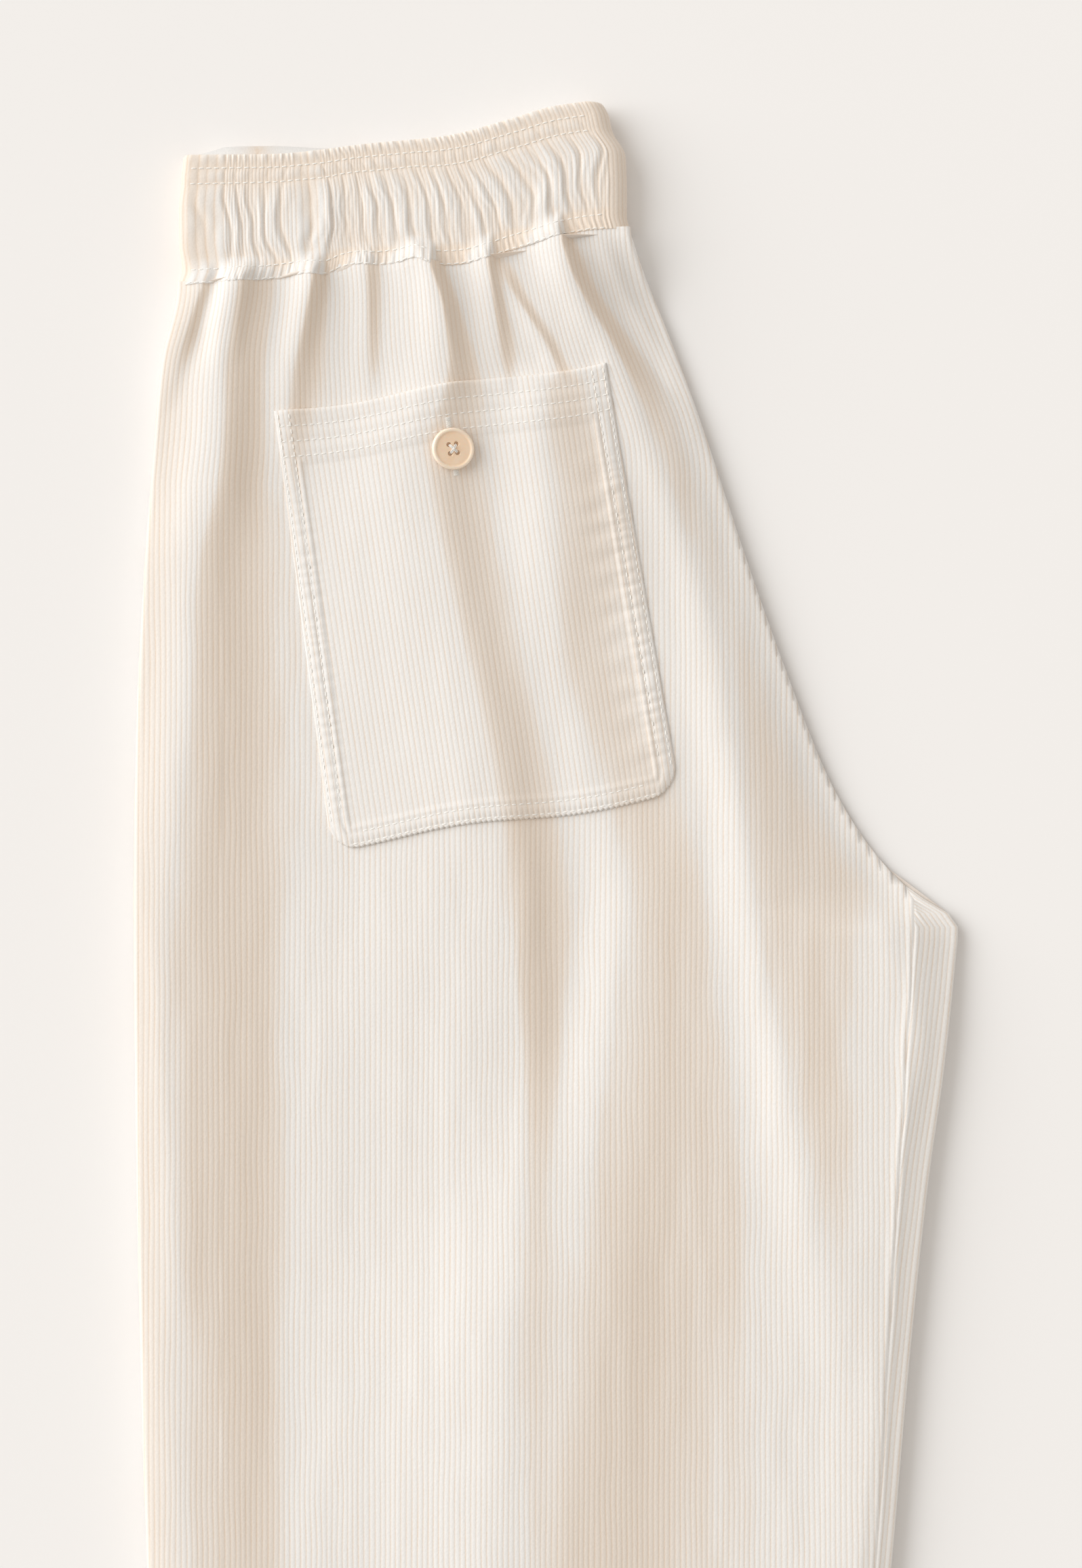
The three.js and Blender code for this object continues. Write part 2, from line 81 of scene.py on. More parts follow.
# The patch pocket and its button. The pocket has its middle, its widths at mouth and foot, its height, its
# turn in degrees and its corners' radius. The photo shows its foot a little lower than the solid's.
POCKET = dict(x=-31.9, down=216.5, mouth=144.5, foot=152, height=189, turn=8.6, corner=13)
MOUTH_WAVE = 1.1  # how far the mouth wavers
FOOT_WAVE = 1.5
MOUTH_HEM = 21
MOUTH_ROWS = (7, 13.5, 20)
POCKET_TURNING = 8.4  # cloth turned under along the sides and the foot
POCKET_ROWS = (1.6, 6.5)
POCKET_DENTS = (1.4, 6.5)  # where the two rows of stitches draw the cloth in
POCKET_COLUMNS_PER_RIB = 5
BUTTON = dict(x=-40.6, down=149.7, radius=9, thickness=2.6, dish=7, rim=8)
BUTTON_CLEAR = 0.15
HOLES = dict(across=3.2, along=3.9, reach=1.25, floor=0.5)  # across and along between the four middles
BUTTONHOLE = dict(length=24.5, half_width=1.4, pitch=0.5, shown=4.2)
STITCH = dict(length=2.3, gap=0.9, radius=0.28)
BAR_STITCH = dict(length=2.6, gap=0.1, radius=0.26)
STITCH_LIFT = 0.05  # how far a stitch's middle line lies above the cloth
BAND_STITCH_LIFT = 0.1
BAR_LIFT = 0.12
STRAND = dict(radius=0.27, aside=0.28)  # the thread in the button, and its place beside the middle line
KNOT_RADIUS = 0.62

# How far down the waist's top edge lies, over shares of its width
WAIST_LINE = dict(across=[0, 0.2, 0.46, 0.64, 0.81, 0.91, 1], down=[23, 22.7, 18, 15, 7.5, 2.4, 0])
# The band's two ends, over how far down the band they are
BAND_ENDS = dict(
    down=[0, 6, 9, 12.4, 23, 38, 49.4, 56],
    left=[-156.6, -157, -157.4, -157.5, -158.6, -158.4, -157, -159],
    right=[24.3, 27, 27.6, 28.4, 34, 34.6, 34.6, 36],
)
# The crests of the band's gathers: where each lies across, and how full it stands
GATHERS = dict(
    x=[
        -138.7, -133.5, -127.9, -121.2, -114.2, -107.5, -95.2, -89.9, -82.9, -77.6, -71.2, -63.9,
        -55.1, -47.8, -39.9, -33.2, -26.2, -20.3, -13, -4.2, 5.1, 13.3, 20.6,
    ],
    full=[
        0.9, 0.7, 0.8, 0.9, 1, 1.1, 1.2, 0.8, 0.9, 0.8, 1, 1.1,
        1.1, 0.9, 1, 0.9, 0.8, 0.9, 1.1, 1.2, 1.1, 0.9, 0.8,
    ],
)
# How far the waist seam lies below (or, less than nothing, above) the waist line's own curve
SEAM_WAVE = dict(
    x=[-157, -125, -105, -95.5, -89, -82.6, -72, -64, -57, -50, -34.6, -14, 2.5, 17.4, 36],
    down=[0.4, -1.2, -3, -2.1, -4.2, -4.8, -3.4, -3.6, -4.9, -1.9, -0.5, -1.7, -1.7, -1.7, -0.6],
)
# The outline: the side fold, the seat seam, and the inseam edge below it
SIDE_EDGE = dict(
    down=[56, 79, 113, 148, 201, 271, 341, 447, 587, 632, 800, 991],
    x=[-159, -159.2, -166.2, -169.6, -173.8, -177.3, -178.4, -177.3, -174.1, -172.4, -164, -152],
)
SEAT_EDGE = dict(
    down=[56, 68, 96, 131, 201, 254, 289, 307, 324, 337, 344, 349, 352],
    x=[36, 40, 51.6, 64.8, 88.2, 107.2, 121.2, 130.8, 142.5, 154.6, 164.3, 173, 177.4],
)
INSEAM_EDGE = dict(
    down=[352, 356, 371, 417, 468, 542, 632, 800, 991],
    x=[177.4, 178.2, 176.8, 171.8, 164.7, 156.9, 149, 132, 114],
)
# Where the cut edge of the inseam's allowance shows through, and the ribs turn to follow the edge
INSEAM_RIDGE = dict(down=[343, 371, 468, 632, 800, 991], x=[159.2, 157.5, 151.5, 141.4, 126, 109])

# Each fold of the back that shows, from its start to its end: how far down, where the crest lies, how far
# its slopes spread towards the side (near) and the seat (far), and how high it stands.
STATION = ("down", "x", "near", "far", "height")
FOLDS = {
    "side tuck": [
        (60, -144, 8, 4, 1.4), (72, -146, 8, 4, 2.2), (95, -154, 8, 4, 2.2), (118, -161, 7, 5, 0.9),
        (135, -166, 6, 5, 0),
    ],
    "second tuck": [
        (57, -131, 7, 2.6, 1), (76, -130, 8, 2.6, 2), (98, -132.5, 8, 3.4, 1.2), (116, -135, 8, 4, 0),
    ],
    "side fold": [
        (57, -127, 8, 8, 2.4), (66, -132, 7, 12, 3.2), (78, -136, 6, 15, 3.8), (100, -139, 8, 15, 3.8),
        (125, -139, 16, 13, 4.2), (160, -141, 22, 12, 4.8), (200, -150, 28, 19, 5.2),
        (262, -154, 26, 24, 5.2), (394, -163, 26, 36, 4.8), (526, -160, 26, 38, 4.9),
        (613, -157, 26, 37, 4.7), (800, -142, 28, 34, 3.6), (985, -118, 30, 28, 0.8),
    ],
    "side valley": [
        (310, -114, 14, 14, 0), (380, -117, 14, 14, -1), (526, -117, 14, 14, -1.1), (632, -114, 14, 14, -1),
        (800, -106, 14, 14, -0.6), (985, -96, 14, 14, 0),
    ],
    "side slack": [
        (330, -170, 6, 9, 0), (380, -167, 6, 9, 0.5), (470, -160, 6, 9, 0.5), (540, -156, 6, 9, 0),
    ],
    "third tuck": [
        (57, -99, 8, 2.6, 2.6), (70, -99.5, 9, 3, 3.8), (96, -104, 9, 4.4, 3.4), (122, -110, 9, 7, 2.2),
        (150, -112, 9, 7, 0.9), (175, -112, 9, 7, 0),
    ],
    "fourth tuck": [
        (58, -79, 7, 4, 1.2), (72, -78, 8, 4, 1.6), (100, -77.5, 8, 4, 1.2), (135, -78, 8, 5, 0),
    ],
    "pocket fold": [
        (57, -55, 14, 2.6, 2.8), (68, -52, 14, 2.8, 4.2), (92, -44, 16, 3.8, 4.4), (113, -42, 20, 7, 4.2),
        (150, -52, 30, 16, 4.4), (218, -40, 42, 18, 5), (284, -24, 50, 18, 5), (350, -15, 58, 17, 5),
        (416, -12, 66, 15, 4.6), (480, -16, 64, 16, 2.8), (560, -22, 60, 18, 1.4), (660, -28, 56, 22, 0),
    ],
    "fifth tuck": [
        (57, -26, 7, 2.8, 1.6), (70, -25, 8, 2.8, 2.6), (100, -21, 8, 3.5, 1.5), (130, -18, 8, 4, 0),
    ],
    "short tuck": [(70, -20, 6, 3, 0), (82, -15.5, 6, 3, 1.2), (106, 0, 6, 3, 1.2), (122, 8, 6, 3, 0)],
    "middle fold": [
        (110, 0, 14, 14, 0), (128, -1, 16, 17, 3), (150, 0, 18, 21, 3.6), (175, 3, 18, 26, 3.8),
        (235, 5, 18, 18, 2.6), (290, 22, 20, 22, 2.4), (350, 36, 18, 27, 3.2), (394, 31, 20, 32, 3.8),
        (438, 25, 30, 37, 5), (480, 17, 44, 41, 6.2), (526, 9, 62, 44, 7.4), (632, -4, 78, 46, 7.4),
        (800, -10, 72, 46, 5.2), (985, -2, 46, 32, 0.8),
    ],
    "seat fold": [
        (56, 4, 10, 2.6, 2.6), (66, 7.5, 12, 2.8, 4), (76, 11, 12, 3.2, 4.2), (113, 33, 12, 7, 3.8),
        (140, 44, 14, 20, 3.6), (183, 59, 14, 26, 3.5), (219, 71, 14, 30, 3.4), (262, 79, 14, 32, 3.4),
        (306, 85, 14, 32, 3.4), (376, 96, 14, 26, 3.4), (430, 106, 15, 20, 3.2),
        (500, 117, 15, 16, 1.4), (560, 125, 15, 14, 0),
    ],
    "seat tuck": [(58, 20, 5, 6, 0.3), (80, 32, 5, 6, 0.7), (125, 58, 6, 8, 0.7), (180, 78, 6, 8, 0)],
    "inseam fold": [
        (340, 158, 26, 14, 0), (372, 160, 26, 14, 2), (460, 150, 26, 14, 2.1), (570, 139, 25, 14, 2.1),
        (632, 133, 25, 14, 2.1), (800, 116, 25, 14, 1.9), (985, 100, 24, 13, 0.8),
    ],
}
FOLD_FULLNESS = 1.48  # every height above is taken this many times
GATHERED_MORE = 0.1  # how much fuller the folds are just below the waist seam
FAN_ENDS = 163.5  # above here the ribs draw together towards the waist
# There a rib shifts as the side fold does at the left, and by the fan's own shift at the right
FAN_LEFT, FAN_RIGHT, FAN_SHIFT = -167.1, 61.3, -31
RIB_HEIGHT = 0.08
RIB_POWER = 2.6  # how squarely a rib stands
RIB_DRIFT = 0.45  # how far a rib strays from its straight line
COLUMNS_PER_RIB = 4
RIB_REACH = 182  # how far out ribs are laid, past both edges
INSEAM_COLUMNS = 34
BAND_COLUMNS_PER_RIB = 5
GATHER_COLUMNS = 20  # of the mesh, from one crest of the gathers to the next
GATHERS_DOWN = 38  # how far down the band the gathers' places hold

# Colours of the cloth and its grooves (the grooves' colour partly the backing's own, partly painted shade
# in the recesses), tones that its colour is multiplied by where the pile lies dull, for painted shade and
# for painted highlight, and colours of the thread and the button
CREAM = (0.862, 0.846, 0.826, 1)
DULL_TONE = (0.95, 0.95, 0.95, 1)
# The grooves' colour: partly the backing's own, partly painted shade in the recesses between ribs
GROOVE_AND_SHADE_TONE = (0.775, 0.59, 0.43, 1)
GROOVE_AND_SHADE_DEPTH = 0.8
# Painted shade on slopes turned from the light, and painted highlight along the inner seams
PAINTED_SHADE_TONE = (1.0, 0.885, 0.775, 1)
PAINTED_SHADE_DEPTH = 0.85
PAINTED_HIGHLIGHT_TONE = (1.13, 1.13, 1.13, 1)
THREAD_TONE = (0.97, 0.95, 0.91, 1)
THREAD_SHADE = (0.86, 0.86, 0.86, 1)
DISH_TONES = ((0.97, 0.71, 0.50, 1), (0.98, 0.77, 0.58, 1))
RIM_TONES = ((0.97, 0.79, 0.62, 1), (0.98, 0.85, 0.71, 1))

# The room
PAPER = dict(half=40, below=0.0003, colour=(0.905, 0.893, 0.885, 1), roughness=0.9)
WINDOW = dict(energy=2.72, spread=60, from_above=62, turned=-20, colour=(0.975, 0.99, 1.0))
SKY = dict(colour=(1.0, 0.948, 0.885, 1), strength=0.612)
CAMERA = dict(lens=85, sensor=36, x=-2.5, down=LENGTH / 2 - 201.8, z=10, away=1.597)

BACK_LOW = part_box("back_left")[0]


def to_metres(x, down, z):
    """The shared frame's metres from the trousers' own places: x and z as they are, y up from the hem."""
    x, down, z = np.broadcast_arrays(np.asarray(x, float), down, z)
    across = x / 1000 + BACK_LOW.x - min(SIDE_EDGE["x"]) / 1000
    return np.stack([across, BACK_LOW.y + (LENGTH - down) / 1000, z / 1000], axis=-1)


def soft(t):
    """A step from 0 to 1 that starts and ends level: t squared times three less two t."""
    t = np.clip(t, 0, 1)
    return t * t * (3 - 2 * t)


def mix(a, b, t):
    """The place a share t of the way from a to b."""
    return a + (b - a) * t


def curve(xs, ys, at):
    """A curve through a table that never overshoots it: cubic between points, with each point's slope the
    harmonic mean of the slopes before and after it, or none where they turn."""
    xs, ys = np.asarray(xs, float), np.asarray(ys, float)
    steps, slopes = np.diff(xs), np.diff(ys) / np.diff(xs)
    before, after = np.r_[slopes[:1], slopes], np.r_[slopes, slopes[-1:]]
    same_way = before * after > 0
    tangents = np.where(same_way, 2 * before * after / np.where(same_way, before + after, 1), 0)
    at = np.clip(at, xs[0], xs[-1])
    i = np.clip(np.searchsorted(xs, at, side="right") - 1, 0, len(steps) - 1)
    t = (at - xs[i]) / steps[i]
    straight = mix(ys[i], ys[i + 1], soft(t))
    return straight + steps[i] * t * (1 - t) * ((1 - t) * tangents[i] - t * tangents[i + 1])


def wander(x, down, across, along, seed):
    """Unevenness from -1 to 1: random heights on a net of cells across by along, joined smoothly."""
    net = np.random.default_rng(seed).uniform(-1, 1, (97, 97))
    u, v = x / across + 500, down / along + 500
    i, j = np.floor(u).astype(int), np.floor(v).astype(int)
    s, t = soft(u - i), soft(v - j)
    i, j = i % 96, j % 96
    top = mix(net[i, j], net[i + 1, j], s)
    return mix(top, mix(net[i, j + 1], net[i + 1, j + 1], s), t)


def side_edge(down):
    """The side fold's place across, on a curve through its table."""
    return curve(SIDE_EDGE["down"], SIDE_EDGE["x"], down)


def inner_edge(down):
    """The seat seam down to the crotch, and the inseam edge below it."""
    seat = curve(SEAT_EDGE["down"], SEAT_EDGE["x"], down)
    return np.where(down < CROTCH_DOWN, seat, curve(INSEAM_EDGE["down"], INSEAM_EDGE["x"], down))


def waist_line(u):
    """How far down the waist's top edge lies a share u of the way across."""
    return curve(WAIST_LINE["across"], WAIST_LINE["down"], np.clip(u, 0, 1))


def seam_line(u):
    """How far down the waist seam lies, without its own wave: the waist line and the band's height."""
    return waist_line(u) + BAND_HEIGHT + SEAM_GAP


def seam_wave(x):
    """How far the waist seam wavers up and down at x."""
    return curve(SEAM_WAVE["x"], SEAM_WAVE["down"], x)


def edge_stretch(down):
    """How much longer the way to the inner edge is across than square to it, from the edge's slope: the
    root of one plus the slope squared."""
    slant = np.clip(np.abs(inner_edge(down + 2) - inner_edge(down - 2)) / 4, 0, 2)
    return np.hypot(1, slant)


def open_below(down):
    """How far the inner seam lies open, from 0 along the seat to 1 along the inseam."""
    return soft((down - CROTCH_DOWN + 4) / CROTCH_OPENS)


def seam_height(x, down, left, right, stack, way):
    """Height of a back's nearer edge: mid height and half the gap, and further where the seam lies open,
    upwards for way 1 and downwards for -1. The side fold lies open all along."""
    opened = np.where(x - left < right - x, 1, open_below(down))
    return stack * (0.5 + way * LEG_SEAM * opened) + way * SEAM_GAP / 2


def fold_height(x, down):
    """Sum of the folds: each a bell across its crest, exp of minus the square of the distance over its
    spread, with a spread of its own on either side, all fuller just below the waist seam."""
    total = np.zeros(np.broadcast(x, down).shape)
    for stations in FOLDS.values():
        table = dict(zip(STATION, zip(*stations)))
        here = {key: curve(table["down"], table[key], down) for key in STATION[1:]}
        inside = (down <= table["down"][-1]) & ((down >= table["down"][0]) | (table["height"][0] > 0))
        aside = x - here["x"]
        spread = np.where(aside < 0, here["near"], here["far"])
        total += np.where(inside, here["height"] * np.exp(-((aside / spread) ** 2)), 0)
    gathered = 1 + GATHERED_MORE * np.exp(-(((down - 74) / 26) ** 2))
    return FOLD_FULLNESS * gathered * total


def stack_height(x, down, u):
    """Height of the four layers a share u of the way across: the waistband's at its seam, sinking on a
    bell to the legs', rounded off at the hems, and thinner towards the inner edge."""
    below = np.maximum(0, down - seam_line(u))
    hem = HEM_ROUND * soft((down - LENGTH + HEM_ROLL) / HEM_ROLL)
    from_inner = (inner_edge(down) - x) / edge_stretch(down)
    seat = soft((CROTCH_DOWN + 60 - down) / 90)
    sink = mix(0.2, 0.66, seat) * soft(1 - from_inner / mix(14, 46, seat))
    level = LEG_STACK + (BAND_STACK - LEG_STACK) * np.exp(-((below / STACK_FADE) ** 2)) - hem
    return level * (1 - sink * soft(below / 34))


def rib(u):
    """Section of the corduroy's ribs over u ribs: 1 on a crest, falling steeply to 0 in each groove."""
    return 1 - np.abs(2 * (u - np.floor(u)) - 1) ** RIB_POWER


def rib_place(w, down):
    """Where the rib w lies: straight down the leg, drawn together towards the waist above it."""
    high = np.minimum(down, FAN_ENDS)
    left = side_edge(high) - side_edge(FAN_ENDS)
    right = FAN_SHIFT * (1 - soft((high - 54) / (FAN_ENDS - 54)))
    return w + mix(left, right, np.clip((w - FAN_LEFT) / (FAN_RIGHT - FAN_LEFT), 0, 1))


def row_downs(starts):
    """For rows of cloth given where they lie at the waist's middle: a function of x for how far down they
    lie there, and their two ends. Rows follow the waist's slope, and are level from TILT_ENDS on."""
    middle = seam_line(0.5)
    tilt = 1 - soft((starts - middle) / (TILT_ENDS - middle))

    def down_at(u):
        """How far down each row lies a share u of the way across."""
        return starts + (seam_line(u) - middle) * tilt

    left, right = side_edge(down_at(0.0)), inner_edge(down_at(1.0))
    return down_at, left, right


def closed(grid):
    """A grid with its first column again after its last, so that it runs all the way round."""
    return np.concatenate([grid, grid[:, :1]], axis=1)


def drop_flat(faces, corners):
    """Leaves out the triangles that have lost a side where columns meet."""
    keep = (faces[:, 0] != faces[:, 1]) & (faces[:, 1] != faces[:, 2]) & (faces[:, 0] != faces[:, 2])
    return faces[keep], corners[keep]


def grid_faces(index, slots=None):
    """Triangles of a grid of vertex numbers, facing up where columns go right and rows go down."""
    slots = index if slots is None else slots
    picks = [(grid[:-1, :-1], grid[1:, :-1], grid[1:, 1:], grid[:-1, 1:]) for grid in (index, slots)]
    made = [
        np.concatenate([np.stack([a, b, c], -1).reshape(-1, 3), np.stack([a, c, d], -1).reshape(-1, 3)])
        for a, b, c, d in picks
    ]
    return drop_flat(*made)


def zip_faces(many, few):
    """A strip of triangles between two lines of vertex numbers of different lengths."""
    near = np.round(np.linspace(0, len(few) - 1, len(many))).astype(int)
    first = np.stack([many[:-1], many[1:], few[near[:-1]]], -1)
    step = near[1:] > near[:-1]
    second = np.stack([many[1:][step], few[near[1:][step]], few[near[:-1][step]]], -1)
    return np.concatenate([first, second])


class Piece:
    """Collects one piece's vertices and triangles. Each vertex may carry its painted shade, or below 0 its
    painted highlight, and each triangle's corner has a spot on the cloth: ribs across, and centimetres
    down."""

    def __init__(self):
        self.points, self.spots, self.faces, self.corners, self.painted_shadings = [], [], [], [], []
        self.count = 0
        self.spot_count = 0

    def add_points(self, points, painted_shading=None):
        """Takes places in metres and gives back their vertex numbers, in the same grid."""
        flat = points.reshape(-1, 3)
        index = np.arange(self.count, self.count + len(flat)).reshape(points.shape[:-1])
        self.points.append(flat)
        self.painted_shadings.append(np.zeros(len(flat)) if painted_shading is None else painted_shading.ravel())
        self.count += len(flat)
        return index

    def add_spots(self, u, v):
        """Takes places on the cloth's map and gives back their numbers, in the same grid."""
        u, v = np.broadcast_arrays(u, v)
        index = np.arange(self.spot_count, self.spot_count + u.size).reshape(u.shape)
        self.spots.append(np.stack([u.ravel(), v.ravel()], -1))
        self.spot_count += u.size
        return index

    def add_faces(self, faces, corners, flip=False):
        """Takes triangles of vertex numbers with the spot number of each corner; flip turns them over."""
        self.faces.append(faces[:, ::-1] if flip else faces)
        self.corners.append(corners[:, ::-1] if flip else corners)

    def finish(self, name, material, nodes, sharp=None):
        """Makes the mesh from the vertices in use, and hands the piece to the frame."""
        points = np.concatenate(self.points)
        faces = np.concatenate(self.faces)
        corners = np.concatenate(self.corners)
        spots = np.concatenate(self.spots)
        used = np.zeros(len(points), bool)
        used[faces.ravel()] = True
        number = np.cumsum(used) - 1
        mesh = bpy.data.meshes.new(name)
        mesh.from_pydata(points[used].tolist(), [], number[faces].tolist())
        mesh.uv_layers.new(name="cloth")
        mesh.uv_layers["cloth"].data.foreach_set("uv", spots[corners.ravel()].ravel())
        # Painted shade and painted highlight go on the mesh as a point attribute
        painted_shading = np.concatenate(self.painted_shadings)[used]
        if painted_shading.any():
            mesh.attributes.new("painted_shading", "FLOAT", "POINT").data.foreach_set("value", painted_shading)
        mesh.shade_smooth()
        if sharp:
            mesh.set_sharp_from_angle(angle=np.radians(sharp))
        mesh.materials.append(material)
        piece = bpy.data.objects.new(name, mesh)
        bpy.context.collection.objects.link(piece)
        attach(piece, "root")
        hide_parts(*nodes)
        return piece


def panel_rows():
    """How far down the rows of the mesh lie at the waist's middle: close together in the gathers, wider
    down the leg, and close again where the hem rounds off."""
    starts = np.concatenate([
        np.arange(0, 30, 1.5), np.arange(30, 120, 3), np.arange(120, 330, 6), np.arange(330, 905, 10),
    ])
    hem = LENGTH - seam_line(0.5)
    tail = hem - np.array(HEM_ROWS)
    return seam_line(0.5) + np.concatenate([starts[starts < tail[0]], tail, [hem]])


def sparse_rows():
    """Every other row, and the hem itself, for the layers that hardly show."""
    rows = panel_rows()[::2]
    return np.r_[rows, LENGTH] if rows[-1] < LENGTH else rows


def edge_lift(from_side, from_inner):
    """Share of its height the cloth has reached at its distances from the two edges: one minus the cube
    of what is left of each roll, to a small power, so that it rises steeply and then lies level."""
    side = 1 - np.clip(from_side / SIDE_ROLL, 0, 1)
    inner = 1 - np.clip(from_inner / SEAM_ROLL, 0, 1)
    return (1 - side**3) ** 0.33 * (1 - inner**3) ** 0.22


def panel_height(x, down, left, right, u, folds):
    """Top of the back that shows, and the share of it reached: the stack, its folds and its ribs, rolled
    down to the seams at both edges."""
    from_inner = (right - x) / edge_stretch(down)
    lift = edge_lift(x - left, from_inner)
    stack = stack_height(x, down, (x - left) / (right - left))
    ribs = RIB_HEIGHT * (rib(u) - 1) * soft(np.minimum(x - left, from_inner) / 2)
    return mix(seam_height(x, down, left, right, stack, 1), stack + folds, lift) + ribs, lift


def top_folds(x, down):
    """The folds, and a gentle unevenness over all of the cloth."""
    uneven = 0.28 * wander(x, down, 17, 70, 3) + 0.12 * wander(x, down, 7, 34, 4)
    return fold_height(x, down) + uneven


def painted_shading_at(x, down):
    """Painted shade from 0 to 1: more the steeper the cloth falls towards the seat, away from the light,
    and near the side fold, whose face takes the light. Less than 0, a painted highlight, along the inner
    seams, where their rolled edges lie in shade."""
    fall = (top_folds(x - 1.2, down) - top_folds(x + 1.2, down)) / 2.4
    at_side = 0.6 * (1 - soft((x - side_edge(down)) / 26))
    at_seam = mix(0.6, 0.9, soft((down - CROTCH_DOWN) / 30)) * (1 - soft((inner_edge(down) - x) / 24))
    return np.maximum(1 - np.exp(-np.maximum(0, fall) / 0.12), at_side) * (1 - at_seam) - at_seam


def ridge_line(down, right):
    """The inseam allowance's edge, inside the trousers' edge below the crotch and on it above."""
    ridge = curve(INSEAM_RIDGE["down"], INSEAM_RIDGE["x"], down)
    return np.where(down < INSEAM_RIDGE["down"][0], right, np.minimum(ridge, right))


def back_columns(rows):
    """Places of the back's columns on each row, and the ribs they lie on: straight down the leg as far as
    the inseam allowance, and beyond it following the edge. Columns outside the cloth are drawn in to its
    edges."""
    down_at, left, right = row_downs(rows[:, None])
    step = WALE / COLUMNS_PER_RIB
    w = np.round(np.arange(-RIB_REACH, RIB_REACH, step) / step) * step
    x = np.broadcast_to(w, (len(rows), len(w)))
    for _ in range(3):
        x = rib_place(w, down_at((x - left) / (right - left)))
    ridge = ridge_line(down_at(1.0), right)
    body = np.clip(x, left, ridge)
    body_u = (w + body - x) / WALE
    strip_w = np.arange(-INSEAM_COLUMNS, 1) * step
    strip_x = right + strip_w
    strip = np.clip(strip_x, ridge, right)
    strip_u = (strip_w + strip - strip_x) / WALE - 0.5
    x = np.concatenate([body, strip], axis=1)
    u = np.concatenate([body_u, strip_u], axis=1)
    down = down_at((x - left) / (right - left))
    return x, down, u, left, right, ridge


def merged(x):
    """Vertex numbers for a grid whose neighbouring columns share a place where their x is the same, and
    which places of the grid are the first of their vertex."""
    fresh = np.ones(x.shape, bool)
    fresh[:, 1:] = np.abs(np.diff(x, axis=1)) > 1e-6
    return (np.cumsum(fresh.ravel()) - 1).reshape(x.shape), fresh


def inner_wall(rows, low):
    """The back's inside: level under the folds, a cloth's thickness in from the rolled edges."""
    down_at, left, right = row_downs(rows[:, None])
    insets = np.array([CLOTH, 3.5, EDGE_ROLL + 1])
    from_left = left + insets
    from_right = right - insets[::-1] * edge_stretch(down_at(1.0))
    flat = mix(from_left[:, -1:], from_right[:, :1], np.linspace(0, 1, 8)[1:-1])
    x = np.concatenate([from_left, flat, from_right], axis=1)
    share = (x - left) / (right - left)
    down = down_at(share)
    stack = stack_height(x, down, share)
    shares = np.r_[0, 0.8, np.ones(x.shape[1] - 4), 0.8, 0]
    seam = seam_height(x, down, left, right, stack, -1 if low else 1)
    return to_metres(x, down, mix(seam, CLOTH if low else stack - CLOTH, shares))


def close_shell(piece, outer, inner_points, spots, flip):
    """Joins a sheet's outer face to its inner one along all four edges."""
    inner = piece.add_points(inner_points)
    blank = spots[0, 0]
    piece.add_faces(*grid_faces(inner, np.full(inner.shape, blank)), flip=not flip)
    strips = [
        (outer[0], inner[0], False),
        (outer[-1], inner[-1], True),
        (outer[:, 0], inner[:, 0], True),
        (outer[:, -1], inner[:, -1], False),
    ]
    for many, few, turn in strips:
        many = many[np.r_[True, np.diff(many) != 0]]
        faces = zip_faces(many, few)
        piece.add_faces(faces, np.full(faces.shape, blank), flip=turn != flip)


def left_back(material):
    """The back that shows: the height function on a grid of columns that follow the ribs."""
    rows = panel_rows()
    x, down, u, left, right, ridge = back_columns(rows)
    z, lift = panel_height(x, down, left, right, u, top_folds(x, down))
    from_ridge = x - ridge
    seam_mark = 0.7 * np.exp(-((from_ridge / 2.4) ** 2)) - 0.6 * np.exp(-((from_ridge / 0.7) ** 2))
    z = z + np.where(down > INSEAM_RIDGE["down"][0], seam_mark, 0) * lift
    below = down - seam_line((x - left) / (right - left))
    shown = down + seam_wave(x) * np.exp(-((below / 34) ** 2))
    tucked = soft(1 - below / 1.2)
    piece = Piece()
    index, fresh = merged(x)
    inside = np.minimum(x - left, right - x)
    drift = RIB_DRIFT * wander(x, down, 9, 24, 12) * soft((inside - 1) / 6)
    placed = to_metres(x + drift, shown - 2 * tucked, z - 0.25 * tucked)
    # Each vertex carries its painted shade, or painted highlight below 0
    piece.add_points(placed[fresh], painted_shading_at(x, down)[fresh])
    spots = piece.add_spots(u, down / 10)
    piece.add_faces(*grid_faces(index, spots))
    inner_rows = rows[np.unique(np.r_[np.arange(0, len(rows), 3), len(rows) - 1])]
    close_shell(piece, index, inner_wall(inner_rows, low=False), spots, flip=False)
    return piece.finish("left_back_cloth", material, ["back_left"], sharp=75)


def right_back(material):
    """The back underneath: flat on the surface, with shallow hollows like the folds above, turned up to
    its seams at both edges."""
    rows = sparse_rows()
    x, down, u, left, right, _ = back_columns(rows)
    hollow = 0.24 * fold_height(x + 9 * wander(x, down, 60, 200, 8), down + 12)
    from_inner = (right - x) / edge_stretch(down)
    lift = edge_lift(x - left, from_inner)
    stack = stack_height(x, down, (x - left) / (right - left))
    ribs = RIB_HEIGHT * (1 - rib(u)) * soft(np.minimum(x - left, from_inner) / 2)
    z = mix(seam_height(x, down, left, right, stack, -1), np.minimum(hollow, 1.1), lift) + ribs
    piece = Piece()
    index, fresh = merged(x)
    piece.add_points(to_metres(x, down, np.maximum(z, 0))[fresh])
    spots = piece.add_spots(u, down / 10)
    piece.add_faces(*grid_faces(index, spots), flip=True)
    inner_rows = rows[np.unique(np.r_[np.arange(0, len(rows), 2), len(rows) - 1])]
    close_shell(piece, index, inner_wall(inner_rows, low=True), spots, flip=True)
    return piece.finish("right_back_cloth", material, ["back_right"], sharp=75)


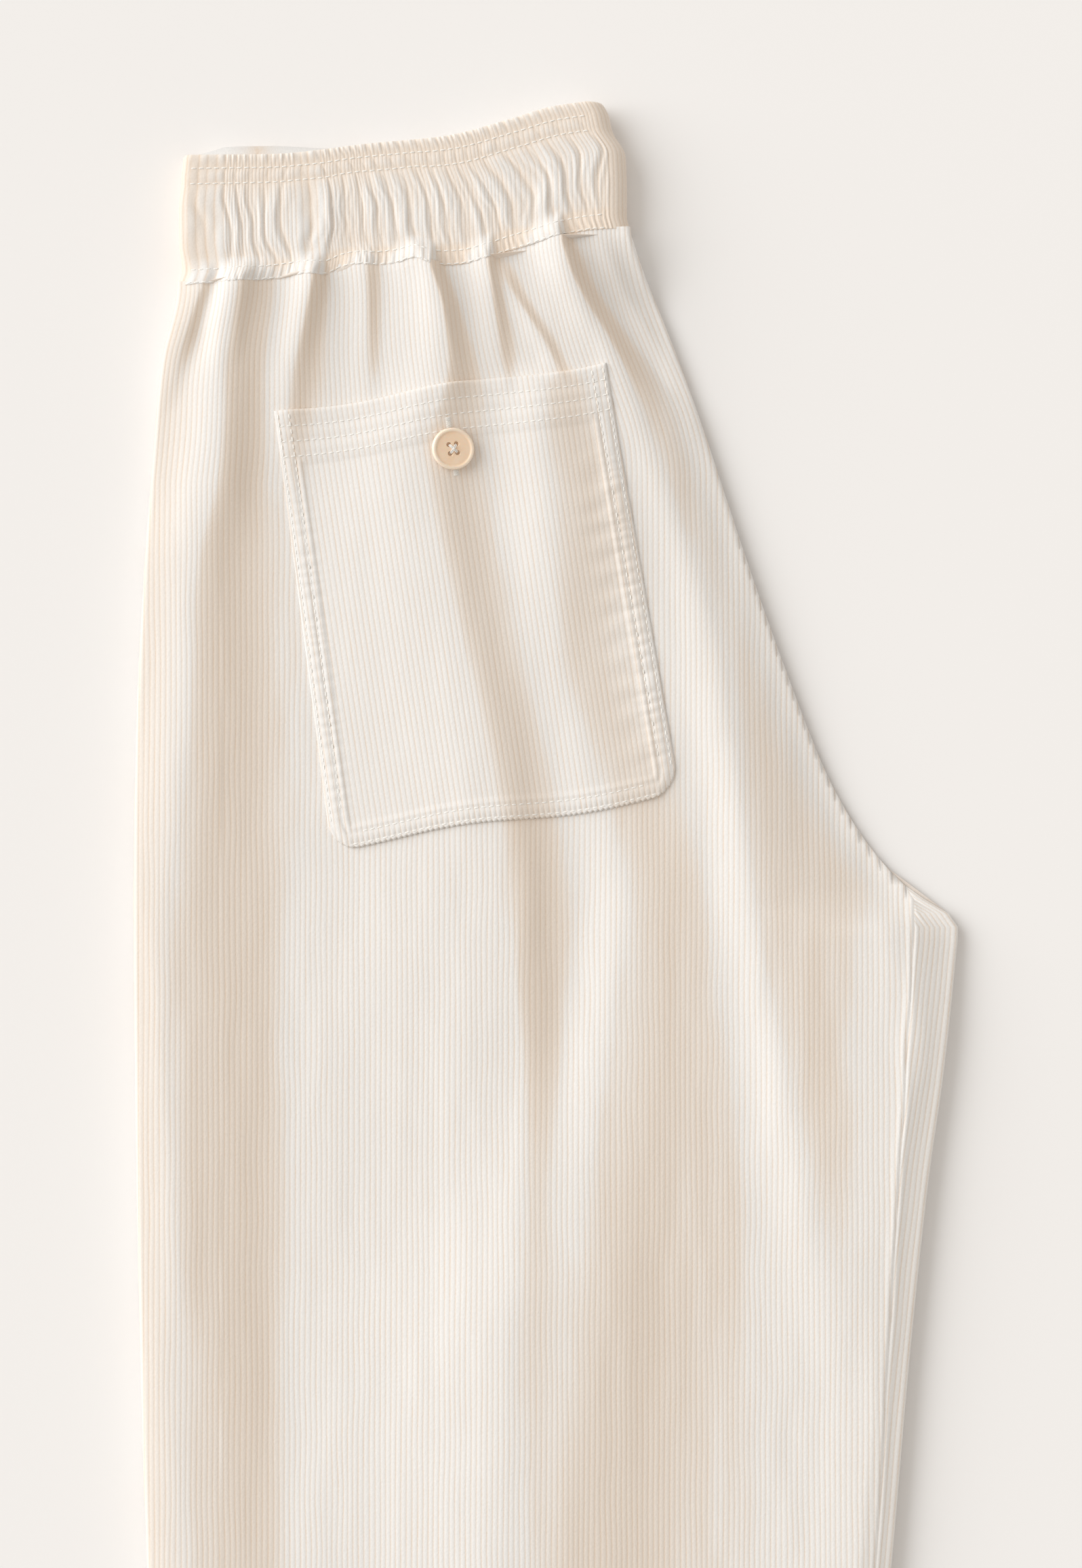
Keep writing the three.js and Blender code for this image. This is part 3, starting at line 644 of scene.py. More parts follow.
def front_leg(name, sign, material):
    """One leg's front between the backs: a flat loop of cloth whose edges round out of the groove between
    the legs to its seam. sign is 1 for the upper leg and -1 for the lower."""
    down_at, left, right = row_downs(sparse_rows()[:, None])
    reach = edge_stretch(down_at(1.0))
    inner_open = open_below(down_at(1.0))
    arc = np.linspace(0, np.pi / 2, 9)
    flat = np.linspace(0, 1, 12)[1:-1]

    def side(edge, way, open_share, stretch):
        """Out of the groove at mid height, round to the seam height, on a quarter of an ellipse."""
        tuck = (1 - open_share) * (CLOTH + 2 * SEAM_GAP)
        x = edge + way * (tuck + GROOVE * (1 - np.sin(arc)) * stretch + 0.2)
        return x, np.broadcast_to(1 - np.cos(arc), x.shape), np.broadcast_to(open_share, x.shape)

    left_x, left_rise, left_open = side(left, 1, np.ones_like(left), 1)
    right_x, right_rise, right_open = (grid[:, ::-1] for grid in side(right, -1, inner_open, reach))
    in_left, in_right = left + EDGE_ROLL, right - EDGE_ROLL * reach
    top_x = mix(in_left, in_right, flat)
    parts = [left_x, left + 2.5, top_x, right - 2.5 * reach, right_x, top_x[:, ::-1]]
    x = np.concatenate(parts, axis=1)
    share = (x - left) / (right - left)
    down = down_at(share)
    stack = stack_height(x, down, share)
    middle = stack / 2
    stops = np.cumsum([part.shape[1] for part in parts])
    face = stack - CLOTH - LAY_GAP if sign > 0 else np.full_like(stack, CLOTH + SEAM_GAP)

    def seam_at(s, open_share):
        """Height of this front's edge at a seam, from the height s of the layers there."""
        return s / 2 + sign * np.maximum(2 * SEAM_GAP, s * LEG_SEAM * open_share - SEAM_GAP / 2)

    near = middle + sign * 0.12
    stacks, faces, nears = (np.split(grid, stops[:-1], axis=1) for grid in (stack, face, near))
    z = np.concatenate([
        mix(nears[0], seam_at(stacks[0], left_open), left_rise),
        mix(seam_at(stacks[1], 1.0), faces[1], 0.7),
        faces[2],
        mix(seam_at(stacks[3], inner_open), faces[3], 0.7),
        mix(nears[4], seam_at(stacks[4], right_open), right_rise),
        nears[5],
    ], axis=1)
    z = mix(z, mix(middle, face, 0.5), 0.25 * soft((down - LENGTH + 4) / 4))
    points = to_metres(x, down, z)
    piece = Piece()
    index = piece.add_points(points)
    around = closed(index)
    strides = [np.diff(grid, axis=1, prepend=grid[:, :1]) for grid in (x, z)]
    width = np.cumsum(np.hypot(*strides), axis=1)
    spots = closed(piece.add_spots(width / WALE, down / 10))
    piece.add_faces(*grid_faces(around, spots), flip=sign < 0)
    for row, turned in ((0, True), (-1, False)):
        centre = piece.add_points(points[row].mean(0, keepdims=True))
        ring = around[row]
        fan = np.stack([ring[:-1], ring[1:], np.full(len(ring) - 1, centre[0])], -1)
        piece.add_faces(fan, np.full(fan.shape, spots[0, 0]), flip=(sign < 0) == turned)
    return piece.finish(name, material, ["fronts"], sharp=60)


def band_ends(below):
    """Where the middle line of the band's ring turns, at the side and at the seat."""
    left = curve(BAND_ENDS["down"], BAND_ENDS["left"], below) + (PASS_PITCH + CASING) / 2
    return left, curve(BAND_ENDS["down"], BAND_ENDS["right"], below) - BAND_STACK / 2


def gather_shares():
    """Shares of the way across at each crest of the gathers, and how full each is."""
    left, right = band_ends(GATHERS_DOWN)
    crests = (np.array(GATHERS["x"]) - left) / (right - left)
    return np.r_[0, crests, 1], np.r_[0.3, GATHERS["full"], 0.2]


def between(at, start, end):
    """Half a wave of a sine: 0 at the start, 1 in the middle, 0 again at the end."""
    return np.sin(np.pi * np.clip((at - start) / (end - start), 0, 1))


def puff_across(u):
    """How far the gathers stand out across the band, and how many crests lie before: full on the crests,
    with a sharp dip between each two."""
    shares, full = gather_shares()
    i = np.clip(np.searchsorted(shares, u, side="right") - 1, 0, len(shares) - 2)
    t = np.clip((u - shares[i]) / (shares[i + 1] - shares[i]), 0, 1)
    skewed = t**0.7
    return np.abs(np.cos(np.pi * skewed)) ** 0.7 * mix(full[i], full[i + 1], soft(t)), i + t


def band_puff(u, below):
    """Height of the band's gathers: full between the stitch rows, flat on them, fine in the header, each
    creased along its length, and passing into the back's folds at the seam."""
    u, below = np.broadcast_arrays(u, np.asarray(below, float))
    reach = 0.04 + 0.25 * soft((u - 0.3) / 0.4) * (1 - soft((u - 0.88) / 0.12))
    along = u * BAND_WIDTH
    sway = 2.6 * wander(along, below, 19, 17, 23) + wander(along, below, 7, 10, 24)
    slant = (reach * (below - BAND_HEIGHT / 2) + sway) / BAND_WIDTH
    across, place = puff_across(np.clip(u - slant, 0, 1))
    channel, body, foot = (between(below, *rows) for rows in zip(BAND_ROWS[:-1], BAND_ROWS[1:]))
    body = body**0.5
    header = 1 - soft(below / BAND_ROWS[0])
    fine = 0.5 + 0.5 * np.cos(4 * np.pi * place + 2.5 * wander(place, below, 1.7, 9, 21))
    uneven = 1 + 0.6 * wander(place * 10, below, 9, 13, 22)
    main = (body + 0.45 * channel + 0.45 * foot) * across * uneven + 0.22 * body * fine
    top = main + header * (0.4 * fine + 0.4 * across)
    into_folds = fold_height(mix(*band_ends(BAND_HEIGHT), u), waist_line(u) + BAND_HEIGHT)
    return mix(top, into_folds + 0.4 * fine, soft((below - 44) / 11))


def band_ring(below):
    """Section of the folded ring at each row: over the top pass from side to seat, down round the seat
    fold, and back through the hidden passes with a turn between each two. For each column of the mesh it
    gives the share of the way across, its place and height, which way is out, and how much of it shows."""
    left, right = band_ends(below[:, None])
    shares, _ = gather_shares()
    steps = np.arange(GATHER_COLUMNS) / GATHER_COLUMNS
    top = mix(shares[:-1, None], shares[1:, None], steps[None, :]).ravel()
    parts = []

    def run(u, number, way, shown):
        """A flat pass, counted from the top, that faces up for way 1 and down for -1."""
        ones = np.ones_like(u)
        parts.append((u, 0 * ones, PASS_HEIGHTS[number] * ones, 0 * ones, way * ones, shown * ones))

    def turn(u, start, end, facing, steps):
        """Half a circle at one end, from one pass to another; facing is -1 where the casing's outer face
        lies inside the turn."""
        angle = np.pi * np.arange(steps) / steps
        high, low = PASS_HEIGHTS[start], PASS_HEIGHTS[end]
        radius = abs(high - low) / 2
        away = (1 if u == 1 else -1) * np.sin(angle)
        rise = np.sign(high - low) * np.cos(angle)
        ones = np.ones_like(angle)
        z = (high + low) / 2 + rise * radius
        parts.append((u * ones, away * radius, z, away * facing, rise * facing, 0.15 * ones))

    plain = np.arange(24) / 24
    run(top, 0, 1, 1.0)
    turn(1, 0, 3, 1, 56)
    run(1 - top, 3, -1, 0.35)
    turn(0, 3, 2, 1, 24)
    run(plain, 2, 1, 0.0)
    turn(1, 2, 1, -1, 6)
    run(1 - plain, 1, -1, 0.0)
    turn(0, 1, 0, 1, 24)
    u, aside, z, nx, nz, shown = (np.concatenate(column)[None, :] for column in zip(*parts))
    return u, mix(left, right, u) + aside, z, nx, nz, shown


def peek_at(u):
    """How far the waist's far edge stands past the near one, towards the side fold."""
    return PEEK * soft(u / 0.1) * (1 - soft((u - 0.2) / 0.2))


def ring_down(u, x, shown, rows):
    """How far down the ring lies: the waist line and the row, with the seam's waver growing towards the
    seam, and the hidden passes standing up a little past the one that shows."""
    peek = np.where(shown >= 1, 0, peek_at(u)) * (1 - soft(rows / PEEK_FADE))
    return waist_line(u) + rows - peek + seam_wave(x) * rows / BAND_HEIGHT


def waistband(material):
    """The elastic waistband: the folded ring's section on each row, moved out by half the casing and by
    the height of the gathers, and closed by an inner wall."""
    below = np.concatenate([
        [0, 0.35, 1, 2, 3.2, 4.4, 5.3], np.arange(6, 13, 1.1), np.arange(14, 49, 1.6),
        np.arange(49.2, 56, 1.1), [BAND_HEIGHT],
    ])
    u, x, z, nx, nz, shown = band_ring(below)
    rows = below[:, None]
    puff = np.where(shown > 0, band_puff(u, rows) * shown, 0)
    inset = 0.9 * np.exp(-rows / 0.7)
    number = np.arange(u.shape[1])[None, :] / BAND_COLUMNS_PER_RIB
    ribs = np.where(shown > 0, RIB_HEIGHT * (rib(number) - 1), 0)
    away = CASING / 2 + puff + ribs - inset
    down = ring_down(u, x, shown, rows)
    outer_points = to_metres(x + nx * away, down, np.maximum(z + nz * away, 0))
    # Painted shade in the hollows between the gathers and along the band's foot
    painted_shading = np.clip(0.95 - puff + 0.9 * soft((rows - 46) / 4), 0, 1) * (shown > 0)
    piece = Piece()
    outer = closed(piece.add_points(outer_points, painted_shading))
    inner_rows = np.array([0, 6, 28, 50, BAND_HEIGHT])
    u, x, z, nx, nz, shown = band_ring(inner_rows)
    inner_down = ring_down(u, x, shown, inner_rows[:, None])
    inner_points = to_metres(x - nx * CASING / 2, inner_down, z - nz * CASING / 2)
    inner = closed(piece.add_points(inner_points))
    wide = np.arange(number.size + 1)[None, :] / BAND_COLUMNS_PER_RIB
    spots = piece.add_spots(wide, rows / 10)
    inner_spots = piece.add_spots(wide, inner_rows[:, None] / 10)
    piece.add_faces(*grid_faces(outer, spots))
    piece.add_faces(*grid_faces(inner, inner_spots), flip=True)
    for row, flip in ((0, True), (-1, False)):
        edge, edge_spots = np.stack([outer[row], inner[row]]), np.stack([spots[row], inner_spots[row]])
        piece.add_faces(*grid_faces(edge, edge_spots), flip=flip)
    return piece.finish("waistband_cloth", material, ["waistband"])


def on_pocket(across, from_mouth):
    """A place on the pocket: across from its middle line and down from its mouth, turned with it."""
    turn = np.radians(POCKET["turn"])
    up = POCKET["height"] / 2 - from_mouth
    x = POCKET["x"] + across * np.cos(turn) - up * np.sin(turn)
    return x, POCKET["down"] - across * np.sin(turn) - up * np.cos(turn)


def pocket_reach(from_mouth):
    """Half the pocket's width: wider towards the foot, less a circle's arc at its lower corners."""
    corner = POCKET["corner"]
    into = np.maximum(0, from_mouth - (POCKET["height"] - corner))
    half = mix(POCKET["mouth"], POCKET["foot"], from_mouth / POCKET["height"]) / 2
    return half - corner + np.sqrt(np.maximum(0, corner**2 - into**2))


def smooth_back(x, down):
    """Height of the left back without its ribs, for what lies on it."""
    left, right = SIDE_EDGE["x"][0], SEAT_EDGE["x"][0]
    return stack_height(x, down, (x - left) / (right - left)) + top_folds(x, down)


def pocket_surface(across, from_mouth):
    """Where the pocket's top lies: the back's height, a cloth's thickness, the turned edges a little
    fuller, puckers and ripples along the stitches, and dents at their rows. Its mouth and foot waver."""
    x, down = on_pocket(across, from_mouth)
    reach = pocket_reach(from_mouth)
    from_side = reach - np.abs(across)
    from_foot = POCKET["height"] - from_mouth
    base = smooth_back(x, down)
    mouth_band = 0.8 * (1 - soft((from_mouth - MOUTH_HEM) / 2.2))
    edge = np.minimum(from_side, from_foot)
    allowance = 0.55 * (1 - soft((edge - POCKET_TURNING) / 2))
    beat = from_mouth / 5.2 + 0.7 * wander(from_mouth, np.sign(across) * 40, 13, 20, 31)
    crest = np.abs(np.sin(np.pi * beat)) ** 0.6 - 0.6
    strong = mix(0.85, 1, soft(across / 40)) * soft((from_mouth - 24) / 30) * soft((184 - from_mouth) / 20)
    puckers = 0.8 * strong * crest * np.exp(-(((from_side - 5.4) / 5) ** 2))
    ripple = np.sin(2 * np.pi * from_mouth / 12.5 + 2 * wander(from_mouth, across, 19, 15, 33))
    puckers += 0.3 * strong * ripple * np.exp(-(((from_side - 13) / 7) ** 2)) * soft((across + 30) / 60)
    dents = 0.4 * sum(np.exp(-(((edge - row) / 0.9) ** 2)) for row in POCKET_DENTS)
    dents = np.where(from_mouth > MOUTH_ROWS[-1], dents, 0)
    rows = 0.35 * sum(np.exp(-(((from_mouth - row) / 0.9) ** 2)) for row in MOUTH_ROWS)
    cord = 0.5 * np.exp(-(((from_foot - 0.8) / 0.7) ** 2)) - 0.5 * (1 - soft(edge / 6))
    mouth_wave = -MOUTH_WAVE * np.sin(2 * np.pi * (across / 92 + 0.18))
    foot_wave = FOOT_WAVE * np.sin(2 * np.pi * (across / 105 - 0.07))
    down = down + mix(mouth_wave, foot_wave, from_mouth / POCKET["height"])
    return x, down, base + CLOTH + np.maximum(mouth_band, allowance) + cord + puckers - dents - rows


def pocket(material):
    """The patch pocket: its height function on a grid that follows the ribs, rounded at the edges, its
    foot scalloped by the ribs, and closed underneath."""
    from_mouth = np.concatenate([
        [0, 0.4, 1.2, 2.4], np.arange(4, 24, 1.6), np.arange(25, POCKET["height"] - 4, 1.1),
        POCKET["height"] - np.array([3.3, 2.4, 1.7, 1, 0.4, 0]),
    ])[:, None]
    step = WALE / POCKET_COLUMNS_PER_RIB
    count = int(POCKET["foot"] / 2 / step) + 1
    w = np.arange(-count, count + 1) * step
    reach = pocket_reach(from_mouth)
    scallop = 0.35 * np.cos(2 * np.pi * w / WALE)[None, :] * soft((from_mouth - POCKET["height"] + 11) / 11)
    across = np.clip(w[None, :], -reach, reach)
    x, down, z = pocket_surface(across, from_mouth)
    ribs = RIB_HEIGHT * (rib(across / WALE + 0.5) - 1)
    rim = np.minimum(np.minimum(reach - np.abs(across), POCKET["height"] - from_mouth), from_mouth * 1.2)
    round_off = 1.2 * (1 - np.sqrt(1 - (1 - np.clip(rim / 1.6, 0, 1)) ** 2))
    z = z + ribs * soft(rim / 1.2) - round_off
    down = down + scallop
    piece = Piece()
    index, fresh = merged(across)
    # The pocket takes most of the back's painted shade and painted highlight
    piece.add_points(to_metres(x, down, z)[fresh], 0.8 * painted_shading_at(x, down)[fresh])
    spots = piece.add_spots(across / WALE + 0.5, from_mouth / 10)
    piece.add_faces(*grid_faces(index, spots))
    under_rows = from_mouth[np.unique(np.r_[np.arange(0, len(from_mouth), 3), len(from_mouth) - 1])]
    under = mix(-1, 1, np.linspace(0, 1, 34)) * pocket_reach(under_rows)
    under_x, under_down, _ = pocket_surface(under, under_rows)
    low = to_metres(under_x, under_down, smooth_back(*on_pocket(under, under_rows)) + 0.05)
    close_shell(piece, index, low, spots, flip=False)
    return piece.finish("pocket_cloth", material, ["back_pocket"])


def button_shape():
    """A four-hole button as rings about its middle line: dished inside a raised rim, with its four holes
    sunk into it, and flat underneath."""
    radius, thick = BUTTON["radius"], BUTTON["thickness"]
    rings = np.concatenate([np.linspace(0, 5.6, 29), np.linspace(5.85, radius - 0.4, 12)])
    angles = np.linspace(0, 2 * np.pi, 97)[:-1]
    r, a = np.meshgrid(rings, angles, indexing="ij")
    hollow = 0.5 * (1 - soft((r - BUTTON["dish"]) / 0.8))
    top = thick - 0.3 * np.maximum(0, r - BUTTON["rim"]) ** 2 - hollow
    dx, dy = r * np.cos(a), r * np.sin(a)
    for sx in (-1, 1):
        for sy in (-1, 1):
            far = np.hypot(dx - sx * HOLES["across"] / 2, dy - sy * HOLES["along"] / 2)
            sunk = mix(HOLES["floor"], top, soft((far - 0.62) / 0.5))
            top = np.where(far < HOLES["reach"], sunk, top)
    wall_r = np.array([radius - 0.22, radius, radius - 0.1, radius - 0.9, 4, 0.001])[:, None]
    wall_z = np.array([thick - 0.75, thick * 0.55, 0.7, 0.05, 0, 0])[:, None]
    wall = (len(wall_r), len(angles))
    r, a, z = (
        np.concatenate([grid, np.broadcast_to(under, wall)])
        for grid, under in ((r, wall_r), (a, angles), (top, wall_z))
    )
    return r * np.cos(a), r * np.sin(a), z


def button_spot():
    """Where the button's middle lies on the pocket: across from its middle line, down from its mouth."""
    turn = np.radians(POCKET["turn"])
    aside, above = BUTTON["x"] - POCKET["x"], POCKET["down"] - BUTTON["down"]
    across = aside * np.cos(turn) + above * np.sin(turn)
    return across, POCKET["height"] / 2 + aside * np.sin(turn) - above * np.cos(turn)


def lay_on_pocket(dx, dy, dz):
    """Sets a small thing on the pocket at the button's place: tilted with the plane that fits the cloth
    there best, and lifted just clear of its highest point."""
    turn = np.radians(POCKET["turn"])
    across, mouth = button_spot()
    reach = BUTTON["radius"]
    grid = np.linspace(-1, 1, 9) * reach
    aside, above = np.meshgrid(grid, grid)
    inside = np.hypot(aside, above) <= reach
    _, _, heights = pocket_surface(across + aside, mouth - above)
    aside, above, heights = aside[inside], above[inside], heights[inside]
    fit = np.linalg.lstsq(np.stack([aside, above, np.ones_like(aside)], -1), heights, rcond=None)[0]
    seat = np.max(heights - fit[0] * aside - fit[1] * above) + BUTTON_CLEAR
    z = seat + dz + fit[0] * dx + fit[1] * dy
    x = BUTTON["x"] + dx * np.cos(turn) - dy * np.sin(turn) - fit[0] * dz
    down = BUTTON["down"] - dx * np.sin(turn) - dy * np.cos(turn) + fit[1] * dz
    return x, down, z


def capsule_row(places, directions, normals, length, radius):
    """Stitches as short round-ended rods that dip at their ends: one rod's points, set at each place along
    its direction."""
    around = np.linspace(0, 2 * np.pi, 7)[:-1]
    stops = np.array([-0.5, -0.42, -0.2, 0.2, 0.42, 0.5])
    girth = np.array([0.05, 0.72, 1, 1, 0.72, 0.05])
    arch = -0.55 * (2 * stops) ** 2 * radius
    along = np.repeat(stops * length, len(around))
    sides = np.outer(girth * radius, np.cos(around)).ravel()
    rise = (np.outer(girth * radius, np.sin(around)) + arch[:, None]).ravel()
    across = np.cross(normals, directions)
    points = (
        places[:, None, :]
        + directions[:, None, :] * along[None, :, None]
        + across[:, None, :] * sides[None, :, None]
        + normals[:, None, :] * rise[None, :, None]
    )
    rings = closed(np.arange(len(stops) * len(around)).reshape(len(stops), len(around)))
    side_faces, _ = grid_faces(rings)
    caps = [
        np.stack([np.full(4, ring[0]), ring[1:5], ring[2:6]], -1) for ring in (rings[0], rings[-1])
    ]
    faces = np.concatenate([side_faces[:, ::-1], caps[0][:, ::-1], caps[1]])
    offsets = np.arange(len(places)) * len(along)
    return points, (faces[None] + offsets[:, None, None]).reshape(-1, 3)


def stitches(name, runs, material, nodes, length, gap, radius):
    """Rows of stitches. Each run is a line of places in millimetres (x, down, z); stitches lie along it at
    even distances, each turned a little by a seeded draw."""
    rng = np.random.default_rng(len(runs) * 7 + 5)
    piece = Piece()
    for line in runs:
        steps = np.hypot(*np.diff(line[:, :2], axis=0).T)
        total = np.r_[0, np.cumsum(steps)]
        number = max(1, int(total[-1] / (length + gap)))
        at = (np.arange(number) + 0.5) * total[-1] / number
        ends = [
            np.stack([np.interp(at + end * length / 2, total, line[:, k]) for k in range(3)], -1)
            for end in (-1, 1)
        ]
        middle = (ends[0] + ends[1]) / 2
        way = ends[1] - ends[0]
        way[:, 1] += rng.normal(0, 0.08, number)
        way /= np.linalg.norm(way, axis=1, keepdims=True)
        up = np.tile([0.0, 0.0, 1.0], (number, 1))
        up -= way * np.sum(up * way, axis=1, keepdims=True)
        up /= np.linalg.norm(up, axis=1, keepdims=True)
        points, faces = capsule_row(middle, way, up, length, radius)
        index = piece.add_points(to_metres(points[..., 0], points[..., 1], points[..., 2]))
        spots = piece.add_spots(np.zeros(1), np.zeros(1))
        faces = faces + index.ravel()[0]
        piece.add_faces(faces[:, ::-1], np.full(faces.shape, spots[0]))
    return piece.finish(name, material, nodes)


def new_material(name):
    """A material with its nodes, its links and its Principled BSDF."""
    material = bpy.data.materials.new(name)
    material.use_nodes = True
    nodes = material.node_tree.nodes
    return material, nodes, material.node_tree.links, nodes["Principled BSDF"]


def feed(links, socket, value):
    """Gives a socket its value: another socket is linked to it, a number or colour is set on it."""
    if isinstance(value, bpy.types.NodeSocket):
        links.new(value, socket)
    else:
        socket.default_value = value


def new_group(name, inputs, outputs):
    """A node group with named sockets; inputs and outputs give each socket's kind and first value."""
    group = bpy.data.node_groups.new(name, "ShaderNodeTree")
    for socket, (kind, value) in inputs.items():
        made = group.interface.new_socket(socket, in_out="INPUT", socket_type=kind)
        if value is not None:
            made.default_value = value
    for socket, kind in outputs.items():
        group.interface.new_socket(socket, in_out="OUTPUT", socket_type=kind)
    start, end = group.nodes.new("NodeGroupInput"), group.nodes.new("NodeGroupOutput")
    return group, group.nodes, group.links, start, end


def maths(nodes, links, operation, *values):
    """A Math node with each value either a number or a socket."""
    node = nodes.new("ShaderNodeMath")
    node.operation = operation
    for socket, value in zip(node.inputs, values):
        feed(links, socket, value)
    return node.outputs[0]


def noise(nodes, links, vector, scale, detail=2.0, rough=0.5):
    """A Noise Texture's value at a place; its scale is a number or a socket."""
    node = nodes.new("ShaderNodeTexNoise")
    for socket, value in (("Vector", vector), ("Scale", scale), ("Detail", detail), ("Roughness", rough)):
        feed(links, node.inputs[socket], value)
    return node.outputs["Fac"]


def stretched(nodes, links, vector, scale):
    """A place with its three coordinates multiplied by a scale of their own."""
    node = nodes.new("ShaderNodeMapping")
    node.inputs["Scale"].default_value = scale
    links.new(vector, node.inputs["Vector"])
    return node.outputs[0]


def rib_group():
    """Values along the ribs from the cloth's own map: the grooves, each rib's own tone, and the rib's
    rounded height."""
    group, nodes, links, start, end = new_group(
        "corduroy ribs",
        {"Groove Width": ("NodeSocketFloat", 5.0)},
        {"Groove": "NodeSocketFloat", "Height": "NodeSocketFloat", "Rib Tone": "NodeSocketFloat"},
    )
    uv = nodes.new("ShaderNodeUVMap")
    uv.uv_map = "cloth"
    split = nodes.new("ShaderNodeSeparateXYZ")
    links.new(uv.outputs[0], split.inputs[0])
    part = maths(nodes, links, "FRACT", split.outputs[0])
    apart = maths(nodes, links, "ABSOLUTE", maths(nodes, links, "MULTIPLY_ADD", part, 2.0, -1.0))
    groove = maths(nodes, links, "POWER", apart, start.outputs[0])
    links.new(groove, end.inputs["Groove"])
    along = stretched(nodes, links, uv.outputs[0], (1.1, 0.35, 1.0))
    links.new(noise(nodes, links, along, 1.0, 1.5, 0.6), end.inputs["Rib Tone"])
    fall = maths(nodes, links, "POWER", apart, RIB_POWER)
    links.new(maths(nodes, links, "SUBTRACT", 1.0, fall), end.inputs["Height"])
    return group


def nap_group():
    """The pile's unevenness: fine fibres drawn out along the ribs, small tufts, and broad random tone where
    the pile lies differently."""
    group, nodes, links, start, end = new_group(
        "pile",
        {"Tuft Scale": ("NodeSocketFloat", 900.0)},
        {"Fibre": "NodeSocketFloat", "Tufts": "NodeSocketFloat", "Shading": "NodeSocketFloat"},
    )
    place = nodes.new("ShaderNodeTexCoord").outputs["Object"]
    along = stretched(nodes, links, place, (1.0, 0.35, 1.0))
    links.new(noise(nodes, links, along, 2600.0, 3.0, 0.7), end.inputs["Fibre"])
    links.new(noise(nodes, links, place, start.outputs[0]), end.inputs["Tufts"])
    links.new(noise(nodes, links, along, 34.0, 3.0, 0.6), end.inputs["Shading"])
    return group


def mix_colour(nodes, links, factor, first, second):
    """The colour a factor of the way from the first to the second."""
    node = nodes.new("ShaderNodeMix")
    node.data_type = "RGBA"
    # These are the numbers of the colour mix's own sockets
    for socket, value in ((0, factor), (6, first), (7, second)):
        feed(links, node.inputs[socket], value)
    return node.outputs[2]


def ranged(nodes, links, value, low, high, to_low, to_high):
    """A value taken from one range to another and held inside it, through a Map Range node."""
    node = nodes.new("ShaderNodeMapRange")
    links.new(value, node.inputs["Value"])
    for name, number in zip(("From Min", "From Max", "To Min", "To Max"), (low, high, to_low, to_high)):
        node.inputs[name].default_value = number
    return node.outputs[0]


def put_group(nodes, group, **values):
    """A node that uses a shared group, with its inputs set by name."""
    node = nodes.new("ShaderNodeGroup")
    node.node_tree = group
    for name, value in values.items():
        node.inputs[name.replace("_", " ")].default_value = value
    return node


def toned(colour, tone):
    """A colour times a tone, channel by channel."""
    return tuple(channel * share for channel, share in zip(colour, tone))


def raise_surface(nodes, links, shader, height, strength, distance):
    """Turns a height into a Bump node on the shader's normal."""
    bump = nodes.new("ShaderNodeBump")
    bump.inputs["Strength"].default_value = strength
    bump.inputs["Distance"].default_value = distance
    links.new(height, bump.inputs["Height"])
    links.new(bump.outputs[0], shader.inputs["Normal"])


def corduroy_material(name, ribs, nap):
    """Cream cotton corduroy: warm grooves between pale ribs, partly the backing's own colour and partly
    painted shade in the recesses, with a soft uneven pile, and painted shade and painted highlight from the
    mesh's painted_shading attribute."""
    material, nodes, links, shader = new_material(name)
    rib_node = put_group(nodes, ribs, Groove_Width=3.2)
    nap_node = put_group(nodes, nap, Tuft_Scale=900.0)
    broad = ranged(nodes, links, nap_node.outputs["Shading"], 0.3, 0.7, 0.0, 1.0)
    lit = mix_colour(nodes, links, broad, toned(CREAM, DULL_TONE), CREAM)
    # Painted shade where the mesh's attribute is above 0, painted highlight where it is below 0
    painted_shading = nodes.new("ShaderNodeAttribute")
    painted_shading.attribute_name = "painted_shading"
    painted_shade = ranged(nodes, links, painted_shading.outputs["Fac"], 0.0, 1.0, 0.0, PAINTED_SHADE_DEPTH)
    lit = mix_colour(nodes, links, painted_shade, lit, toned(CREAM, PAINTED_SHADE_TONE))
    pale = ranged(nodes, links, painted_shading.outputs["Fac"], -1.0, 0.0, 1.0, 0.0)
    lit = mix_colour(nodes, links, pale, lit, toned(CREAM, PAINTED_HIGHLIGHT_TONE))
    # The grooves take a colour that is partly the backing's own and partly painted shade
    strength = maths(nodes, links, "MULTIPLY", rib_node.outputs["Groove"], GROOVE_AND_SHADE_DEPTH)
    wavering = ranged(nodes, links, nap_node.outputs["Tufts"], 0.3, 0.7, 0.65, 1.0)
    by_rib = ranged(nodes, links, rib_node.outputs["Rib Tone"], 0.3, 0.7, 0.55, 1.0)
    wavering = maths(nodes, links, "MULTIPLY", wavering, by_rib)
    groove_and_shade = maths(nodes, links, "MULTIPLY", strength, wavering)
    speck = ranged(nodes, links, nap_node.outputs["Fibre"], 0.25, 0.75, 0.93, 1.03)
    final = nodes.new("ShaderNodeVectorMath")
    final.operation = "SCALE"
    links.new(mix_colour(nodes, links, groove_and_shade, lit, GROOVE_AND_SHADE_TONE), final.inputs[0])
    links.new(speck, final.inputs["Scale"])
    links.new(final.outputs[0], shader.inputs["Base Color"])
    links.new(ranged(nodes, links, nap_node.outputs["Fibre"], 0, 1, 0.84, 0.98), shader.inputs["Roughness"])
    shader.inputs["Sheen Weight"].default_value = 0.25
    shader.inputs["Sheen Roughness"].default_value = 0.5
    shader.inputs["Sheen Tint"].default_value = (1.0, 0.95, 0.88, 1)
    shader.inputs["Specular IOR Level"].default_value = 0.25
    relief = maths(nodes, links, "MULTIPLY", rib_node.outputs["Height"], 0.4)
    height = maths(nodes, links, "MULTIPLY_ADD", nap_node.outputs["Fibre"], 0.5, relief)
    height = maths(nodes, links, "MULTIPLY_ADD", nap_node.outputs["Tufts"], 0.6, height)
    raise_surface(nodes, links, shader, height, 0.35, 0.0004)
    return material


